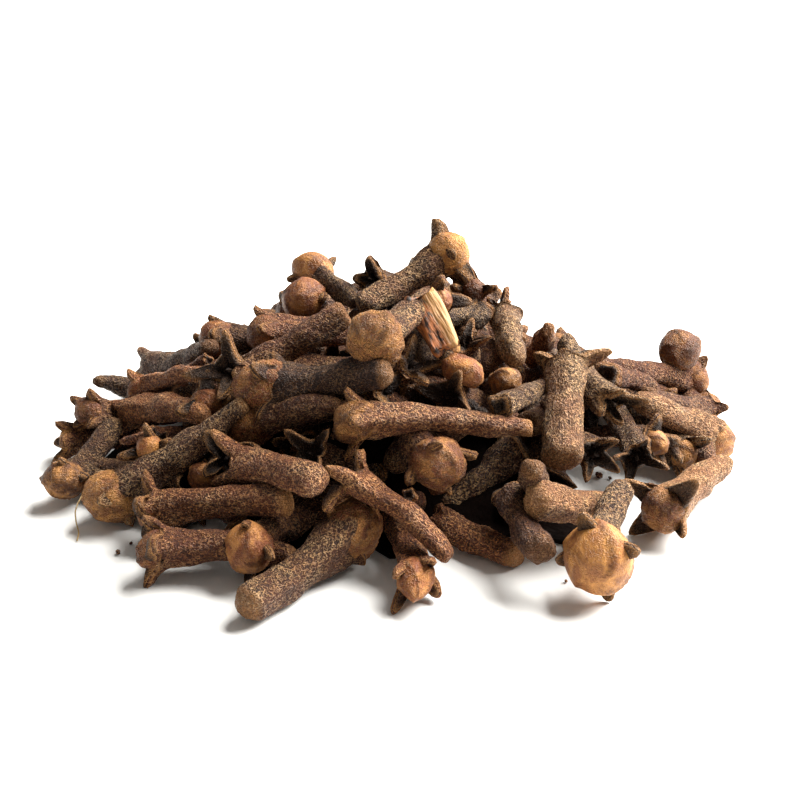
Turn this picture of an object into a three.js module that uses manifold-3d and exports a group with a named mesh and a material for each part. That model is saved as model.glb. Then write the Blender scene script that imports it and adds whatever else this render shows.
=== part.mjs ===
// A heap of whole dried cloves, as it lies after being poured on a flat surface.
//
// Units are millimetres and +Z is up. The origin is at the middle of the heap's footprint,
// on the surface it lies on. The heap is one solid: a low dome with an uneven edge, and
// cloves lying over it in every direction, down to the loose ones round its foot.
//
// A whole clove is a dried flower bud: a stem that widens upwards, four pointed sepals
// that spread from its top, and a round bud of folded petals held between them.

import * as THREE from 'three';
import { mergeVertices } from 'three/addons/utils/BufferGeometryUtils.js';
import Module from 'manifold-3d';

// The heap
const HEAP_WIDTH = 58;
const HEAP_DEPTH = 56;
const DOME_HEIGHT = 14.6;
const DOME_STEEPNESS = 1.35; // exponent of the fall from the top to the foot
const FOOT_OVERHANG = 3.6; // how far the cloves round the foot reach out past the dome
const FOOT_UNEVENNESS = 0.035; // how far the foot wanders in and out, as a share of its radius
const FOOT_LOBES = [3, 5, 8]; // waves round the foot, the widest first
const BED_DEPTH = 0.9; // how deep the cloves sink into the dome below them

// One clove
const CLOVE_LENGTH = 14;
const CLOVE_LENGTH_SPREAD = 2.4;
const STEM_TAIL_RADIUS = 1.1;
const CALYX_RADIUS = 2.1;
const BUD_RADIUS = 2.0;
const SEPAL_COUNT = 4;
const SEPAL_LENGTH = 2.6;
const SEPAL_RADIUS = 0.95;
const SEPAL_SPREAD = THREE.MathUtils.degToRad(52);
const STEM_SIDES = 5;

// How many cloves lie over the dome, and how they are turned
const COVER_CLOVES = 44;
const FOOT_CLOVES = 19;
const GOLDEN_ANGLE = Math.PI * (3 - Math.sqrt(5));
const COVER_TILT = THREE.MathUtils.degToRad(14);
const HEAP_SEED = 57;

// Cloves that stand out of the heap's even shape: where the middle of each lies,
// the direction in which its bud points, and how far the bud is raised.
const STANDING_OUT = [
  { name: 'peak', at: [0.5, 0.5, 16.0], heading: 25, rise: 29 },
  { name: 'leaning on the right flank', at: [13.5, -4.5, 9.0], heading: 84, rise: 36 },
  { name: 'second one near the top', at: [-8.5, 3.5, 12.6], heading: 150, rise: 24 },
  { name: 'loose at the front right', at: [15.3, -20.8, 2.2], heading: -104, rise: -3 },
  { name: 'loose at the front left', at: [-6.6, -24.6, 2.1], heading: 38, rise: 5 },
];

const DOME_RADIUS_X = HEAP_WIDTH / 2 - FOOT_OVERHANG;
const DOME_RADIUS_Y = HEAP_DEPTH / 2 - FOOT_OVERHANG;

const wasm = await Module();
wasm.setup();

// A repeatable stream of numbers from 0 to 1.
function randomStream(seed) {
  let state = seed;
  return () => {
    state = (Math.imul(state, 1664525) + 1013904223) >>> 0;
    return state / 4294967296;
  };
}

function toSolid(geometry) {
  const plain = geometry.clone();
  plain.deleteAttribute('normal');
  plain.deleteAttribute('uv');
  const merged = mergeVertices(plain, 1e-4);
  const vertProperties = new Float32Array(merged.attributes.position.array);
  const triVerts = new Uint32Array(merged.index.array);
  return new wasm.Manifold(new wasm.Mesh({ numProp: 3, vertProperties, triVerts }));
}

// The foot's distance from the middle, as a share of the even ellipse.
function footWander(angle) {
  const waves = FOOT_LOBES.map((count, i) => Math.sin(count * angle + 1.7 * i) / (i + 1));
  return 1 + FOOT_UNEVENNESS * waves.reduce((sum, wave) => sum + wave, 0);
}

// Height of the dome above the surface at a point of its plan.
function domeHeight(x, y) {
  const angle = Math.atan2(y / DOME_RADIUS_Y, x / DOME_RADIUS_X);
  const reach = Math.hypot(x / DOME_RADIUS_X, y / DOME_RADIUS_Y) / footWander(angle);
  return DOME_HEIGHT * Math.max(0, 1 - Math.pow(reach, DOME_STEEPNESS));
}

// The dome under the cloves, with its flat underside on the surface.
function domeSolid() {
  const rings = 6;
  const profile = [new THREE.Vector2(0, 0)];
  for (let i = rings; i >= 0; i -= 1) {
    profile.push(new THREE.Vector2(i / rings, i === rings ? 0 : 1));
  }
  const geometry = new THREE.LatheGeometry(profile, 30);
  geometry.rotateX(Math.PI / 2);
  const position = geometry.attributes.position;
  for (let i = 0; i < position.count; i += 1) {
    const isTop = position.getZ(i) > 0.5;
    const angle = Math.atan2(position.getY(i), position.getX(i));
    const x = position.getX(i) * DOME_RADIUS_X * footWander(angle);
    const y = position.getY(i) * DOME_RADIUS_Y * footWander(angle);
    position.setXYZ(i, x, y, isTop ? domeHeight(x, y) : 0);
  }
  return toSolid(geometry);
}

// One clove along +Z, with its middle at the origin.
function cloveSolid(length, thickness) {
  const calyxHeight = length - 2 * BUD_RADIUS;
  const outline = [
    [0, 0],
    [STEM_TAIL_RADIUS, 0.5],
    [CALYX_RADIUS, calyxHeight],
    [BUD_RADIUS, calyxHeight + BUD_RADIUS],
    [0, length],
  ];
  const profile = outline.map(([r, h]) => new THREE.Vector2(r * thickness, h - length / 2));
  const body = new THREE.LatheGeometry(profile, STEM_SIDES);
  body.rotateX(Math.PI / 2);
  let clove = toSolid(body);
  for (let i = 0; i < SEPAL_COUNT; i += 1) {
    const sepal = new THREE.ConeGeometry(SEPAL_RADIUS * thickness, SEPAL_LENGTH, 3);
    sepal.translate(0, SEPAL_LENGTH / 2, 0);
    sepal.rotateX(Math.PI / 2);
    sepal.rotateY(SEPAL_SPREAD);
    sepal.translate(CALYX_RADIUS * 0.55 * thickness, 0, calyxHeight - length / 2 - 0.4);
    sepal.rotateZ((i * 2 * Math.PI) / SEPAL_COUNT);
    clove = clove.add(toSolid(sepal));
  }
  return clove;
}

// Lays a clove with its middle at a point, its bud pointing along heading and rise.
function layClove(clove, at, heading, rise, roll) {
  const along = new THREE.Vector3(
    Math.cos(rise) * Math.cos(heading),
    Math.cos(rise) * Math.sin(heading),
    Math.sin(rise),
  );
  const turn = new THREE.Quaternion().setFromUnitVectors(new THREE.Vector3(0, 0, 1), along);
  const rolled = turn.multiply(new THREE.Quaternion().setFromAxisAngle(new THREE.Vector3(0, 0, 1), roll));
  const place = new THREE.Matrix4().compose(at, rolled, new THREE.Vector3(1, 1, 1));
  return clove.transform(place.elements);
}

function anyClove(random) {
  const length = CLOVE_LENGTH + CLOVE_LENGTH_SPREAD * (random() - 0.5);
  return cloveSolid(length, 0.9 + 0.25 * random());
}

// The rise of a clove that lies along a heading on the dome's slope.
function slopeRise(x, y, heading) {
  const step = CLOVE_LENGTH * 0.35;
  const ahead = domeHeight(x + step * Math.cos(heading), y + step * Math.sin(heading));
  const behind = domeHeight(x - step * Math.cos(heading), y - step * Math.sin(heading));
  return Math.atan2(ahead - behind, 2 * step);
}

// Cloves spread evenly over the dome, each turned its own way.
function coverCloves(random) {
  const cloves = [];
  for (let i = 0; i < COVER_CLOVES; i += 1) {
    const reach = 0.86 * Math.sqrt((i + 0.5) / COVER_CLOVES);
    const x = reach * DOME_RADIUS_X * Math.cos(i * GOLDEN_ANGLE);
    const y = reach * DOME_RADIUS_Y * Math.sin(i * GOLDEN_ANGLE);
    const heading = 2 * Math.PI * random();
    const rise = slopeRise(x, y, heading) + COVER_TILT * (random() - 0.5);
    const height = domeHeight(x, y) + STEM_TAIL_RADIUS + 0.4 - BED_DEPTH;
    const at = new THREE.Vector3(x, y, height);
    cloves.push(layClove(anyClove(random), at, heading, rise, 2 * Math.PI * random()));
  }
  return cloves;
}

// Cloves lying on the surface round the foot, partly under the heap.
function footCloves(random) {
  const cloves = [];
  for (let i = 0; i < FOOT_CLOVES; i += 1) {
    const angle = (2 * Math.PI * (i + 0.5 * random())) / FOOT_CLOVES;
    const outward = random() < 0.5 ? 0 : Math.PI;
    const heading = angle + outward + 1.1 * (random() - 0.5);
    const halfReach = (CLOVE_LENGTH / 2) * Math.abs(Math.cos(heading - angle));
    const inset = Math.max(halfReach, CALYX_RADIUS) - FOOT_OVERHANG * (0.6 + 0.4 * random());
    const x = (DOME_RADIUS_X * footWander(angle) - inset) * Math.cos(angle);
    const y = (DOME_RADIUS_Y * footWander(angle) - inset) * Math.sin(angle);
    const at = new THREE.Vector3(x, y, CALYX_RADIUS * 0.8);
    cloves.push(layClove(anyClove(random), at, heading, 0.04, 2 * Math.PI * random()));
  }
  return cloves;
}

function standingOutCloves(random) {
  return STANDING_OUT.map(({ at, heading, rise }) => layClove(
    cloveSolid(CLOVE_LENGTH, 1),
    new THREE.Vector3(...at),
    THREE.MathUtils.degToRad(heading),
    THREE.MathUtils.degToRad(rise),
    2 * Math.PI * random(),
  ));
}

// Everything above the surface that the heap lies on.
function aboveSurface() {
  const room = new THREE.BoxGeometry(4 * HEAP_WIDTH, 4 * HEAP_DEPTH, 4 * DOME_HEIGHT);
  room.translate(0, 0, 2 * DOME_HEIGHT);
  return toSolid(room);
}

// Groups the triangles that hang together, so that a shut-in hollow or a crumb can be dropped.
function connectedShells(mesh) {
  const owner = Array.from({ length: mesh.numVert }, (_, i) => i);
  const find = (i) => {
    let root = i;
    while (owner[root] !== root) root = owner[root];
    while (owner[i] !== root) [owner[i], i] = [root, owner[i]];
    return root;
  };
  for (let t = 0; t < mesh.triVerts.length; t += 3) {
    owner[find(mesh.triVerts[t])] = find(mesh.triVerts[t + 1]);
    owner[find(mesh.triVerts[t + 1])] = find(mesh.triVerts[t + 2]);
  }
  const shells = new Map();
  for (let t = 0; t < mesh.triVerts.length; t += 3) {
    const root = find(mesh.triVerts[t]);
    if (!shells.has(root)) shells.set(root, []);
    shells.get(root).push(mesh.triVerts[t], mesh.triVerts[t + 1], mesh.triVerts[t + 2]);
  }
  return [...shells.values()];
}

function outerGeometry(solid) {
  const mesh = solid.getMesh();
  const shells = connectedShells(mesh).sort((a, b) => b.length - a.length);
  const geometry = new THREE.BufferGeometry();
  geometry.setAttribute('position', new THREE.BufferAttribute(mesh.vertProperties, 3));
  geometry.setIndex(shells[0]);
  return geometry;
}

function heapGeometry() {
  const random = randomStream(HEAP_SEED);
  let heap = domeSolid();
  const cloves = [...coverCloves(random), ...footCloves(random), ...standingOutCloves(random)];
  for (const clove of cloves) {
    heap = heap.add(clove);
  }
  return outerGeometry(heap.intersect(aboveSurface()));
}

// Moves the geometry so that the middle of its footprint is at the origin.
function centred(geometry) {
  const loose = geometry.toNonIndexed();
  loose.computeBoundingBox();
  const middle = loose.boundingBox.getCenter(new THREE.Vector3());
  return loose.translate(-middle.x, -middle.y, -loose.boundingBox.min.z);
}

const dryClove = new THREE.MeshStandardMaterial({ color: 0x54331f, roughness: 0.72, metalness: 0 });
const heap = new THREE.Mesh(centred(heapGeometry()), dryClove);
heap.name = 'clove_heap';

const group = new THREE.Group();
group.add(heap);

export default group;
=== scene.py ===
"""A heap of whole dried cloves, modelled clove by clove around the packed heap."""
import math
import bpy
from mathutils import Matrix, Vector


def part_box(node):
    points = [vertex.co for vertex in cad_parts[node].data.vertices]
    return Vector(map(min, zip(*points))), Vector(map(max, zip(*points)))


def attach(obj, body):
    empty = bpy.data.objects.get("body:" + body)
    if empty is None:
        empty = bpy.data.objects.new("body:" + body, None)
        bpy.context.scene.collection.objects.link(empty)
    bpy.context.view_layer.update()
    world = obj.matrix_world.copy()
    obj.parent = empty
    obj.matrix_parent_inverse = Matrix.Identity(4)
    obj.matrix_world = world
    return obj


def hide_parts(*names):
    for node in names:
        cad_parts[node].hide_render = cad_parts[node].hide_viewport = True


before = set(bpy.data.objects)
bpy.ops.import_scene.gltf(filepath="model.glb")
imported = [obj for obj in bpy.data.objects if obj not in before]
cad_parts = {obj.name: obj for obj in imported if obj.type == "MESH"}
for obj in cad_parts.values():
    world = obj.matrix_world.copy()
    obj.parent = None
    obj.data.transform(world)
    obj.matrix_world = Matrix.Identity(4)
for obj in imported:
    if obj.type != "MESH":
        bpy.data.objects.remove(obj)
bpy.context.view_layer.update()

from types import SimpleNamespace

import bpy
import numpy as np
from mathutils import Vector

# Shapes are worked out in millimetres and turned into metres when a mesh is made.
MM = 0.001
HEAP_NODE = "clove_heap"
LOW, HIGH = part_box(HEAP_NODE)
HALF_X = (HIGH[0] - LOW[0]) / 2 / MM
HALF_Y = (HIGH[1] - LOW[1]) / 2 / MM
TOP_Z = HIGH[2] / MM

# ---- the heap ---------------------------------------------------------------------------

SEED = 7
GOLDEN_ANGLE = math.pi * (3 - math.sqrt(5))
DOME_HEIGHT = 16.2  # of the cloves' upper side, under the few that stand out of it
DOME_STEEPNESS = 1.5
BOX_MARGIN = 0.7  # between a clove's axis sphere and the box, for its sepals and lumps

# Filling cloves: depth of the layer's upper side under the dome, share of the plan that it
# covers, how many places are tried, and how deep a clove may cut into another
FILL_LAYERS = [(0.2, 0.93, 260, 0.6), (1.6, 0.90, 240, 0.8), (3.2, 0.86, 200, 1.0),
               (5.6, 0.78, 140, 1.1), (8.0, 0.68, 80, 1.1)]
FILL_HEADINGS = 18
FILL_SINKS = (0.0, 1.2, 2.4)
SEEN_FILL_DEPTH = 0.5  # behind the seen cloves round it, for one that shows between them

# ---- one clove --------------------------------------------------------------------------

STEM_RADIUS = 1.3
TAIL_TAPER = 0.80  # tail's thickness, as a share of the stem's
NECK_FLARE = 1.22  # the stem widens by this below the sepals
BUD_RADIUS = 1.9
SEPALS = 4
SEPAL_SPREAD = 56  # degrees away from the clove's axis
CLOVE_LENGTH = (10.4, 13.2)  # from the tail to the middle of the bud
SHORTEST, LONGEST = 8.6, 14.0

# A sepal is a thick finger on most cloves, and a broad thin leaf on an opened one
FINGER = SimpleNamespace(length=2.1, width=0.95, blunt=2.6, round=0.52, thick=1.0, edge=0.42,
                         cup=0.22, narrow=0.12)
LEAF = SimpleNamespace(length=2.2, width=1.0, blunt=2.0, round=0.62, thick=0.42, edge=0.12,
                       cup=0.75, narrow=-0.08)
POINTED = SimpleNamespace(blunt=1.3, round=1.25, narrow=0.6)  # and it may end in a point

# Mesh detail: cloves that show at the front, small bits at the front, and filling cloves
FRONT_DETAIL = SimpleNamespace(columns=44, stem=40, sepal=8, bud_columns=48, bud_rows=26)
SMALL_DETAIL = SimpleNamespace(columns=32, stem=26, sepal=6, bud_columns=24, bud_rows=14)
FILL_DETAIL = SimpleNamespace(columns=28, stem=24, sepal=5, bud_columns=24, bud_rows=13)
EDGE_CLEARANCE = 0.03  # mm between the finished cloves and the heap's box
LARGEST_SHIFT = 0.9  # mm that a clove may be moved to stay in the box
CELL_MARGIN = 0.03  # round each grid's cell on the flattened picture
CELL_SHAPE = 1.6  # how many times as high as wide a cell is

# ---- the camera -------------------------------------------------------------------------

IMAGE_PIXELS = 800
FOCAL_PIXELS = 1620
CAMERA_ELEVATION = math.radians(25)
CAMERA_DISTANCE = 135.0
LOOK_AT = np.array([0.8, 0.0, 4.8])
SENSOR = 36.0


def camera_axes():
    """The camera's place, and its right, up and forward directions."""
    place = LOOK_AT + CAMERA_DISTANCE * np.array(
        [0.0, -math.cos(CAMERA_ELEVATION), math.sin(CAMERA_ELEVATION)]
    )
    forward = (LOOK_AT - place) / np.linalg.norm(LOOK_AT - place)
    right = np.cross(forward, [0, 0, 1])
    right /= np.linalg.norm(right)
    return place, right, np.cross(right, forward), forward


CAMERA_PLACE, CAMERA_RIGHT, CAMERA_UP, CAMERA_FORWARD = camera_axes()


def sight_line(pixel):
    """From the camera through a pixel of the 800 x 800 frame, 1 mm long along the view."""
    across = (pixel[0] - IMAGE_PIXELS / 2) / FOCAL_PIXELS
    up = (IMAGE_PIXELS / 2 - pixel[1]) / FOCAL_PIXELS
    return CAMERA_FORWARD + across * CAMERA_RIGHT + up * CAMERA_UP


def as_seen(points):
    """Pixel columns, pixel rows and depths of points."""
    away = points - CAMERA_PLACE
    depth = away @ CAMERA_FORWARD
    column = IMAGE_PIXELS / 2 + FOCAL_PIXELS * (away @ CAMERA_RIGHT) / depth
    row = IMAGE_PIXELS / 2 - FOCAL_PIXELS * (away @ CAMERA_UP) / depth
    return column, row, depth


# ---- small maths ------------------------------------------------------------------------

def smooth(value, low, high):
    """0 below low, 1 above high, and a smooth rise between."""
    t = np.clip((np.asarray(value, float) - low) / (high - low), 0, 1)
    return t * t * (3 - 2 * t)


def unit(vector):
    return vector / max(np.linalg.norm(vector), 1e-9)


def between(a, b, share):
    return a + (b - a) * share


def hashed(ix, iy, iz):
    """A repeatable scrambled number for each cell corner of the noise."""
    n = (ix * 73856093) ^ (iy * 19349663) ^ (iz * 83492791)
    n = (n ^ (n >> 13)) * 1274126177
    return (n ^ (n >> 16)) & 0xFFFF


def noise(points):
    """Gradient noise of about -0.7 to 0.7, with features one unit wide."""
    cell = np.floor(points).astype(np.int64)
    f = points - cell
    w = f * f * f * (f * (f * 6 - 15) + 10)
    total = np.zeros(points.shape[:-1])
    for dx in (0, 1):
        for dy in (0, 1):
            for dz in (0, 1):
                h = hashed(cell[..., 0] + dx, cell[..., 1] + dy, cell[..., 2] + dz)
                a = h * (2 * math.pi / 65536)
                z = ((h * 7919) & 0xFFFF) / 32768.0 - 1
                s = np.sqrt(1 - z * z)
                dot = ((f[..., 0] - dx) * s * np.cos(a) + (f[..., 1] - dy) * s * np.sin(a)
                       + (f[..., 2] - dz) * z)
                wx = w[..., 0] if dx else 1 - w[..., 0]
                wy = w[..., 1] if dy else 1 - w[..., 1]
                wz = w[..., 2] if dz else 1 - w[..., 2]
                total += wx * wy * wz * dot
    return total


def grid_normals(grid):
    """Outward normals of a grid of points whose columns run round the clove."""
    around = np.roll(grid, -1, axis=1) - np.roll(grid, 1, axis=1)
    along = np.gradient(grid, axis=0)
    normal = np.cross(around, along)
    length = np.linalg.norm(normal, axis=2, keepdims=True)
    return normal / np.maximum(length, 1e-9)


# ---- the surface of one clove -----------------------------------------------------------
# A clove stands along +Z with its tail at the origin. Its skin is one closed grid: out from
# the middle of the tail, up the stem, out along the sepals to their edges, back down their
# inner sides, and in to the middle of the disc that the bud sits on.

# Radius share and height in mm, from the middle of the tail: one cut off, one rounded
TAIL_CUT = [(0.0, 0.0), (0.45, 0.0), (0.8, 0.05), (0.95, 0.22)]
TAIL_ROUND = [(0.0, 0.0), (0.36, 0.06), (0.66, 0.22), (0.86, 0.48)]
TAIL_CAP = 0.85  # mm of the stem that the tail's end takes up
THICK_FROM, FLARE_FROM = 0.6, 0.66  # shares of the stem's height
WAIST_AT, WAIST_WIDTH = 0.64, 0.16
CORNERS_FROM, CORNERS_BELOW = 0.6, 0.4  # the stem grows four-sided towards its shoulder

# Radius share and rise in mm of the disc inside the sepals, from its rim to its middle
DISCS = {
    "budded": [(0.86, -0.10), (0.6, -0.15), (0.3, -0.1), (0.0, -0.1)],
    "open": [(0.84, -0.45), (0.68, -0.40), (0.56, -0.10), (0.44, -0.42), (0.24, -0.5),
             (0.17, 0.15), (0.13, 0.6), (0.0, 0.72)],
    "stem": [(0.8, -0.05), (0.5, -0.2), (0.25, -0.1), (0.0, -0.15)],
}

SEPAL_ROOT_LEAN = 16  # degrees
SPREAD_BY, CURL_FROM = 0.55, 0.4  # shares of a sepal's length
SEPAL_LEAST = 0.1  # mm of skin that stands up between two sepals
LEAST_BORE = 0.25  # mm left open inside the sepals
PALE_RIM = 7  # the higher, the thinner a sepal's pale edge


def ring(columns):
    """Angles of a grid's columns."""
    return np.arange(columns) * 2 * math.pi / columns


def stem_profile(clove, rows):
    """Radius and height of the rows from the middle of the tail up to the shoulder."""
    tail = clove.stem * clove.taper
    heights = np.linspace(TAIL_CAP, clove.shoulder, rows)
    share = heights / clove.shoulder
    radius = tail + (clove.stem - tail) * smooth(share, 0.0, THICK_FROM)
    radius *= 1 + (clove.flare - 1) * smooth(share, FLARE_FROM, 1.0)
    radius *= 1 - clove.waist * np.exp(-((share - WAIST_AT) / WAIST_WIDTH) ** 2)
    cap = between(np.array(TAIL_ROUND), np.array(TAIL_CUT), clove.cut)
    return (np.concatenate([cap[:, 0] * tail, radius]),
            np.concatenate([cap[:, 1], heights]))


def stem_rows(clove, detail, angles):
    """Radii, heights and angles of the grid's points from the tail up to the shoulder."""
    radius, height = stem_profile(clove, detail.stem)
    near_top = smooth(height / clove.shoulder, CORNERS_FROM, 1.0)
    flat = 1 + clove.flat * np.cos(2 * angles + clove.flat_turn)
    corners = (clove.square * (CORNERS_BELOW + near_top))[:, None] * np.cos(SEPALS * angles)[None, :]
    return (radius[:, None] * (1 + corners) * flat[None, :],
            np.repeat(height[:, None], len(angles), axis=1),
            np.repeat(angles[None, :], len(radius), axis=0))


def sepal_shape(clove):
    """The sepals' sizes, between those of a finger and those of a leaf, and how pointed."""
    shape = SimpleNamespace(**{
        key: between(getattr(FINGER, key), getattr(LEAF, key), clove.leafy) for key in vars(FINGER)
    })
    for key, value in vars(POINTED).items():
        setattr(shape, key, between(getattr(shape, key), value, clove.pointed))
    shape.thick *= clove.sepal_thick
    return shape


def sepal_columns(clove, shape, angles):
    """For each column: its sepal, its place across it from -1 to 1, and its length."""
    step = 2 * math.pi / SEPALS
    which = np.round(angles / step).astype(int) % SEPALS
    off = (angles - np.round(angles / step) * step) / (step / 2)
    outline = np.clip(1 - np.abs(off / shape.width) ** shape.blunt, 0, 1) ** shape.round
    length = SEPAL_LEAST + (shape.length * clove.sepal_length[which] - SEPAL_LEAST) * outline
    return which, off, np.maximum(length, SEPAL_LEAST)


def sepal_rows(clove, detail, angles, rim_r, rim_z):
    """The points of the sepals' outer sides and of their inner sides, from rim to rim."""
    shape = sepal_shape(clove)
    which, off, length = sepal_columns(clove, shape, angles)
    t = np.linspace(0, 1, detail.sepal + 1)[1:, None]
    root_lean = math.radians(SEPAL_ROOT_LEAN)
    end_lean = np.radians(clove.sepal_spread[which])
    lean = root_lean + (end_lean - root_lean)[None, :] * smooth(t, 0.0, SPREAD_BY)
    lean = lean + np.radians(clove.sepal_curl[which])[None, :] * smooth(t, CURL_FROM, 1.0)
    step = length[None, :] / detail.sepal
    out_r = rim_r + np.cumsum(step * np.sin(lean), axis=0)
    out_z = rim_z + np.cumsum(step * np.cos(lean), axis=0)
    narrow = np.minimum(rim_r / np.maximum(out_r, 0.2) * (1 - shape.narrow * t), 1.0)
    middle = angles - off * math.pi / SEPALS + clove.sepal_turn[which] * t
    out_a = middle + off[None, :] * (math.pi / SEPALS) * narrow
    cup = shape.cup * (off ** 2)[None, :] * np.minimum(2 * t, 1) * smooth(length, 0.2, 1.0)[None, :]
    out_r = out_r - cup * np.cos(lean)
    out_z = out_z + cup * np.sin(lean)

    thick = shape.edge + (shape.thick - shape.edge) * np.sqrt(1 - t)
    thick = thick * np.minimum(1, 0.35 * rim_r[None, :] / shape.edge)
    in_r = np.maximum(out_r - thick * np.cos(lean), LEAST_BORE)[::-1]
    in_z = (out_z + thick * np.sin(lean))[::-1]
    return (out_r, out_z, out_a), (in_r, in_z, out_a[::-1])


def disc_rows(clove, rim_r, rim_z, rim_a):
    """The points from inside the sepals to the middle of the disc between them."""
    profile = np.array(DISCS[clove.kind])
    share, rise = profile[:, :1], profile[:, 1:]
    middle_z = rim_z.mean()
    return (share * rim_r[None, :], middle_z + (rim_z - middle_z)[None, :] * share + rise,
            np.repeat(rim_a[None, :], len(profile), axis=0))


def skin_grid(clove, detail):
    """The skin's points, and for each how pale its edge is and how far inside it lies."""
    angles = ring(detail.columns)
    stem = stem_rows(clove, detail, angles)
    outer, inner = sepal_rows(clove, detail, angles, stem[0][-1], stem[1][-1])
    disc = disc_rows(clove, *(values[-1] for values in inner))
    r, z, a = (np.vstack(rows) for rows in zip(stem, outer, inner, disc))
    grid = np.stack([r * np.cos(a), r * np.sin(a), z], axis=2)

    top = len(stem[0])
    edge = np.linspace(0, 1, detail.sepal + 1)[1:, None] ** PALE_RIM
    pale = np.zeros(r.shape)
    pale[top:top + detail.sepal] = edge
    pale[top + detail.sepal:top + 2 * detail.sepal] = edge[::-1]
    pale[:len(TAIL_CUT)] = clove.pale_tail
    inside = np.zeros(r.shape)
    inside[top + detail.sepal:] = 1
    return rough_skin(clove, grid, top), pale, inside


# How the noise of the skin is scaled round and along the clove, in features per mm
LUMP_SCALE = 0.42
FURROW_SCALE = np.array([1.1, 1.1, 0.35])
GRAIN_SCALE = np.array([1.7, 1.7, 1.2])
SPECK_SCALE = 3.4
SEPAL_RELIEF = 0.5  # share of the stem's relief


def rough_skin(clove, grid, top):
    """Moves the skin in and out: slow lumps, furrows along the stem, and grains."""
    place = grid + clove.offset
    grains = 0.5 - np.abs(noise(place * GRAIN_SCALE)) * 2.4
    move = (clove.lumps * noise(place * LUMP_SCALE) + clove.furrows * noise(place * FURROW_SCALE)
            + clove.grains * grains + 0.5 * clove.grains * noise(place * SPECK_SCALE))
    on_sepals = np.arange(grid.shape[0]) >= top
    move = move * np.where(on_sepals, SEPAL_RELIEF, 1.0)[:, None]
    return grid + grid_normals(grid) * move[..., None]


PETAL_TWIST = 0.75  # how far the petals wind round the bud, in radians for each radian down
PETAL_RISE = 0.15  # of the bud's radius, by which a petal stands over the next one
PETALS_END = 0.82  # share of a petal's width where it starts to fall to the next one
SEAM_AT, SEAM_WIDTH = 0.96, 0.09
TOP_DIP = 0.05
# Waves, crumples and creases of a wrinkled bud, as shares of its radius
WAVES, CRUMPLES, CREASES, UNEVENNESS = 0.08, 0.07, 0.06, 0.04


def bud_grid(clove, detail):
    """The bud: a ball of four petals, each overlapping the next, meeting at its top."""
    angles = ring(detail.bud_columns)
    down = np.linspace(math.pi, 0, detail.bud_rows + 1)[:, None]
    turn = angles[None, :] + PETAL_TWIST * (math.pi - down) + clove.bud_twist
    share = (turn / (2 * math.pi) * SEPALS) % 1.0
    petal = np.floor(turn / (2 * math.pi) * SEPALS).astype(int) % SEPALS
    overlap = share ** 3 * smooth(share, 1.0, PETALS_END)
    top = smooth(down, 0.15, 0.7)
    radius = clove.bud * (1 + PETAL_RISE * overlap * top - TOP_DIP * (1 - top))
    ball = np.stack([np.sin(down) * np.cos(angles)[None, :],
                     np.sin(down) * np.sin(angles)[None, :],
                     np.cos(down) * np.ones_like(angles)[None, :] * clove.bud_height], axis=2)
    pointed = 1 - clove.bud_point * smooth(np.cos(down), -0.1, 1.0)
    ball[..., :2] *= pointed[..., None]
    seam = np.exp(-((share - SEAM_AT) / SEAM_WIDTH) ** 2) * top
    waves = noise(ball * np.array([2.6, 2.6, 1.0]) * 1.2 + clove.offset)
    crumples = 0.5 - np.abs(noise(ball * 2.6 + clove.offset + 9.0)) * 2
    creases = noise(ball * clove.bud * np.array([1.5, 1.5, 1.1]) + clove.offset + 31.0)
    wrinkles = WAVES * waves + CRUMPLES * crumples + CREASES * creases
    radius = radius * (1 + clove.wrinkle * wrinkles)
    radius = radius * (1 + UNEVENNESS * noise(ball * 1.1 + clove.offset))
    grid = ball * radius[..., None]
    grid[..., 2] += clove.shoulder + clove.bud_lift
    return grid, seam, clove.petal_tone[petal]


def bowed(clove, grid):
    """Bends the clove sideways between its two ends."""
    share = np.clip(grid[..., 2] / clove.length, 0, 1.2)
    bow = 4 * share * (1 - share)
    grid = grid.copy()
    grid[..., 0] += clove.bow[0] * bow
    grid[..., 1] += clove.bow[1] * bow
    return grid


# ---- the cloves and how each of them looks ----------------------------------------------

ANY_TURN = (0, 6.28)
BUD_SEAT = 0.62  # share of the bud's radius from the shoulder up to its middle
OPEN_HEAD = 0.8  # mm from the shoulder to the head's middle without a bud
OPEN_GIRTH = 1.2  # such a head's radius, as a share of the stem's
BROKEN_SEPALS, BROKEN_FLARE = 0.12, 1.08  # of a stem that has broken off under its head

# What each clove draws at random, in this order: the range, and how many numbers
OWN_SIZES = [
    ("stem", (0.86, 1.12), None), ("taper", (0.82, 1.12), None), ("flare", (0.92, 1.08), None),
    ("waist", (0.0, 0.12), None), ("square", (0.02, 0.08), None), ("flat", (0.02, 0.13), None),
    ("flat_turn", ANY_TURN, None), ("bud", (0.78, 1.1), None), ("bud_height", (0.88, 1.08), None),
    ("bud_point", (0.0, 0.12), None), ("bud_twist", ANY_TURN, None),
    ("sepal_length", (0.75, 1.12), SEPALS), ("sepal_spread", (0.5, 1.35), SEPALS),
    ("sepal_curl", (-38, 15), SEPALS), ("sepal_turn", (-0.22, 0.22), SEPALS),
    ("bow", (-0.5, 0.5), 2), ("lumps", (0.28, 0.55), None), ("furrows", (0.10, 0.28), None),
    ("grains", (0.06, 0.10), None), ("wrinkle", (0.1, 1.0), None), ("tone", (0.2, 0.6), None),
    ("warm", (0.1, 0.8), None), ("bud_warm", (0.5, 1.0), None), ("bud_tone", (0.0, 0.4), None),
    ("petal_tone", (-0.15, 0.15), SEPALS), ("pale_tail", (0.0, 0.6), None),
    ("offset", (-400, 400), 3), ("roll", ANY_TURN, None), ("cut", (0.0, 1.0), None),
    ("pointed", (0.0, 0.5), None),
]
# What some of those are a share of
USUAL_SIZES = {"stem": STEM_RADIUS, "taper": TAIL_TAPER, "flare": NECK_FLARE, "bud": BUD_RADIUS,
               "sepal_spread": SEPAL_SPREAD}


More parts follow.
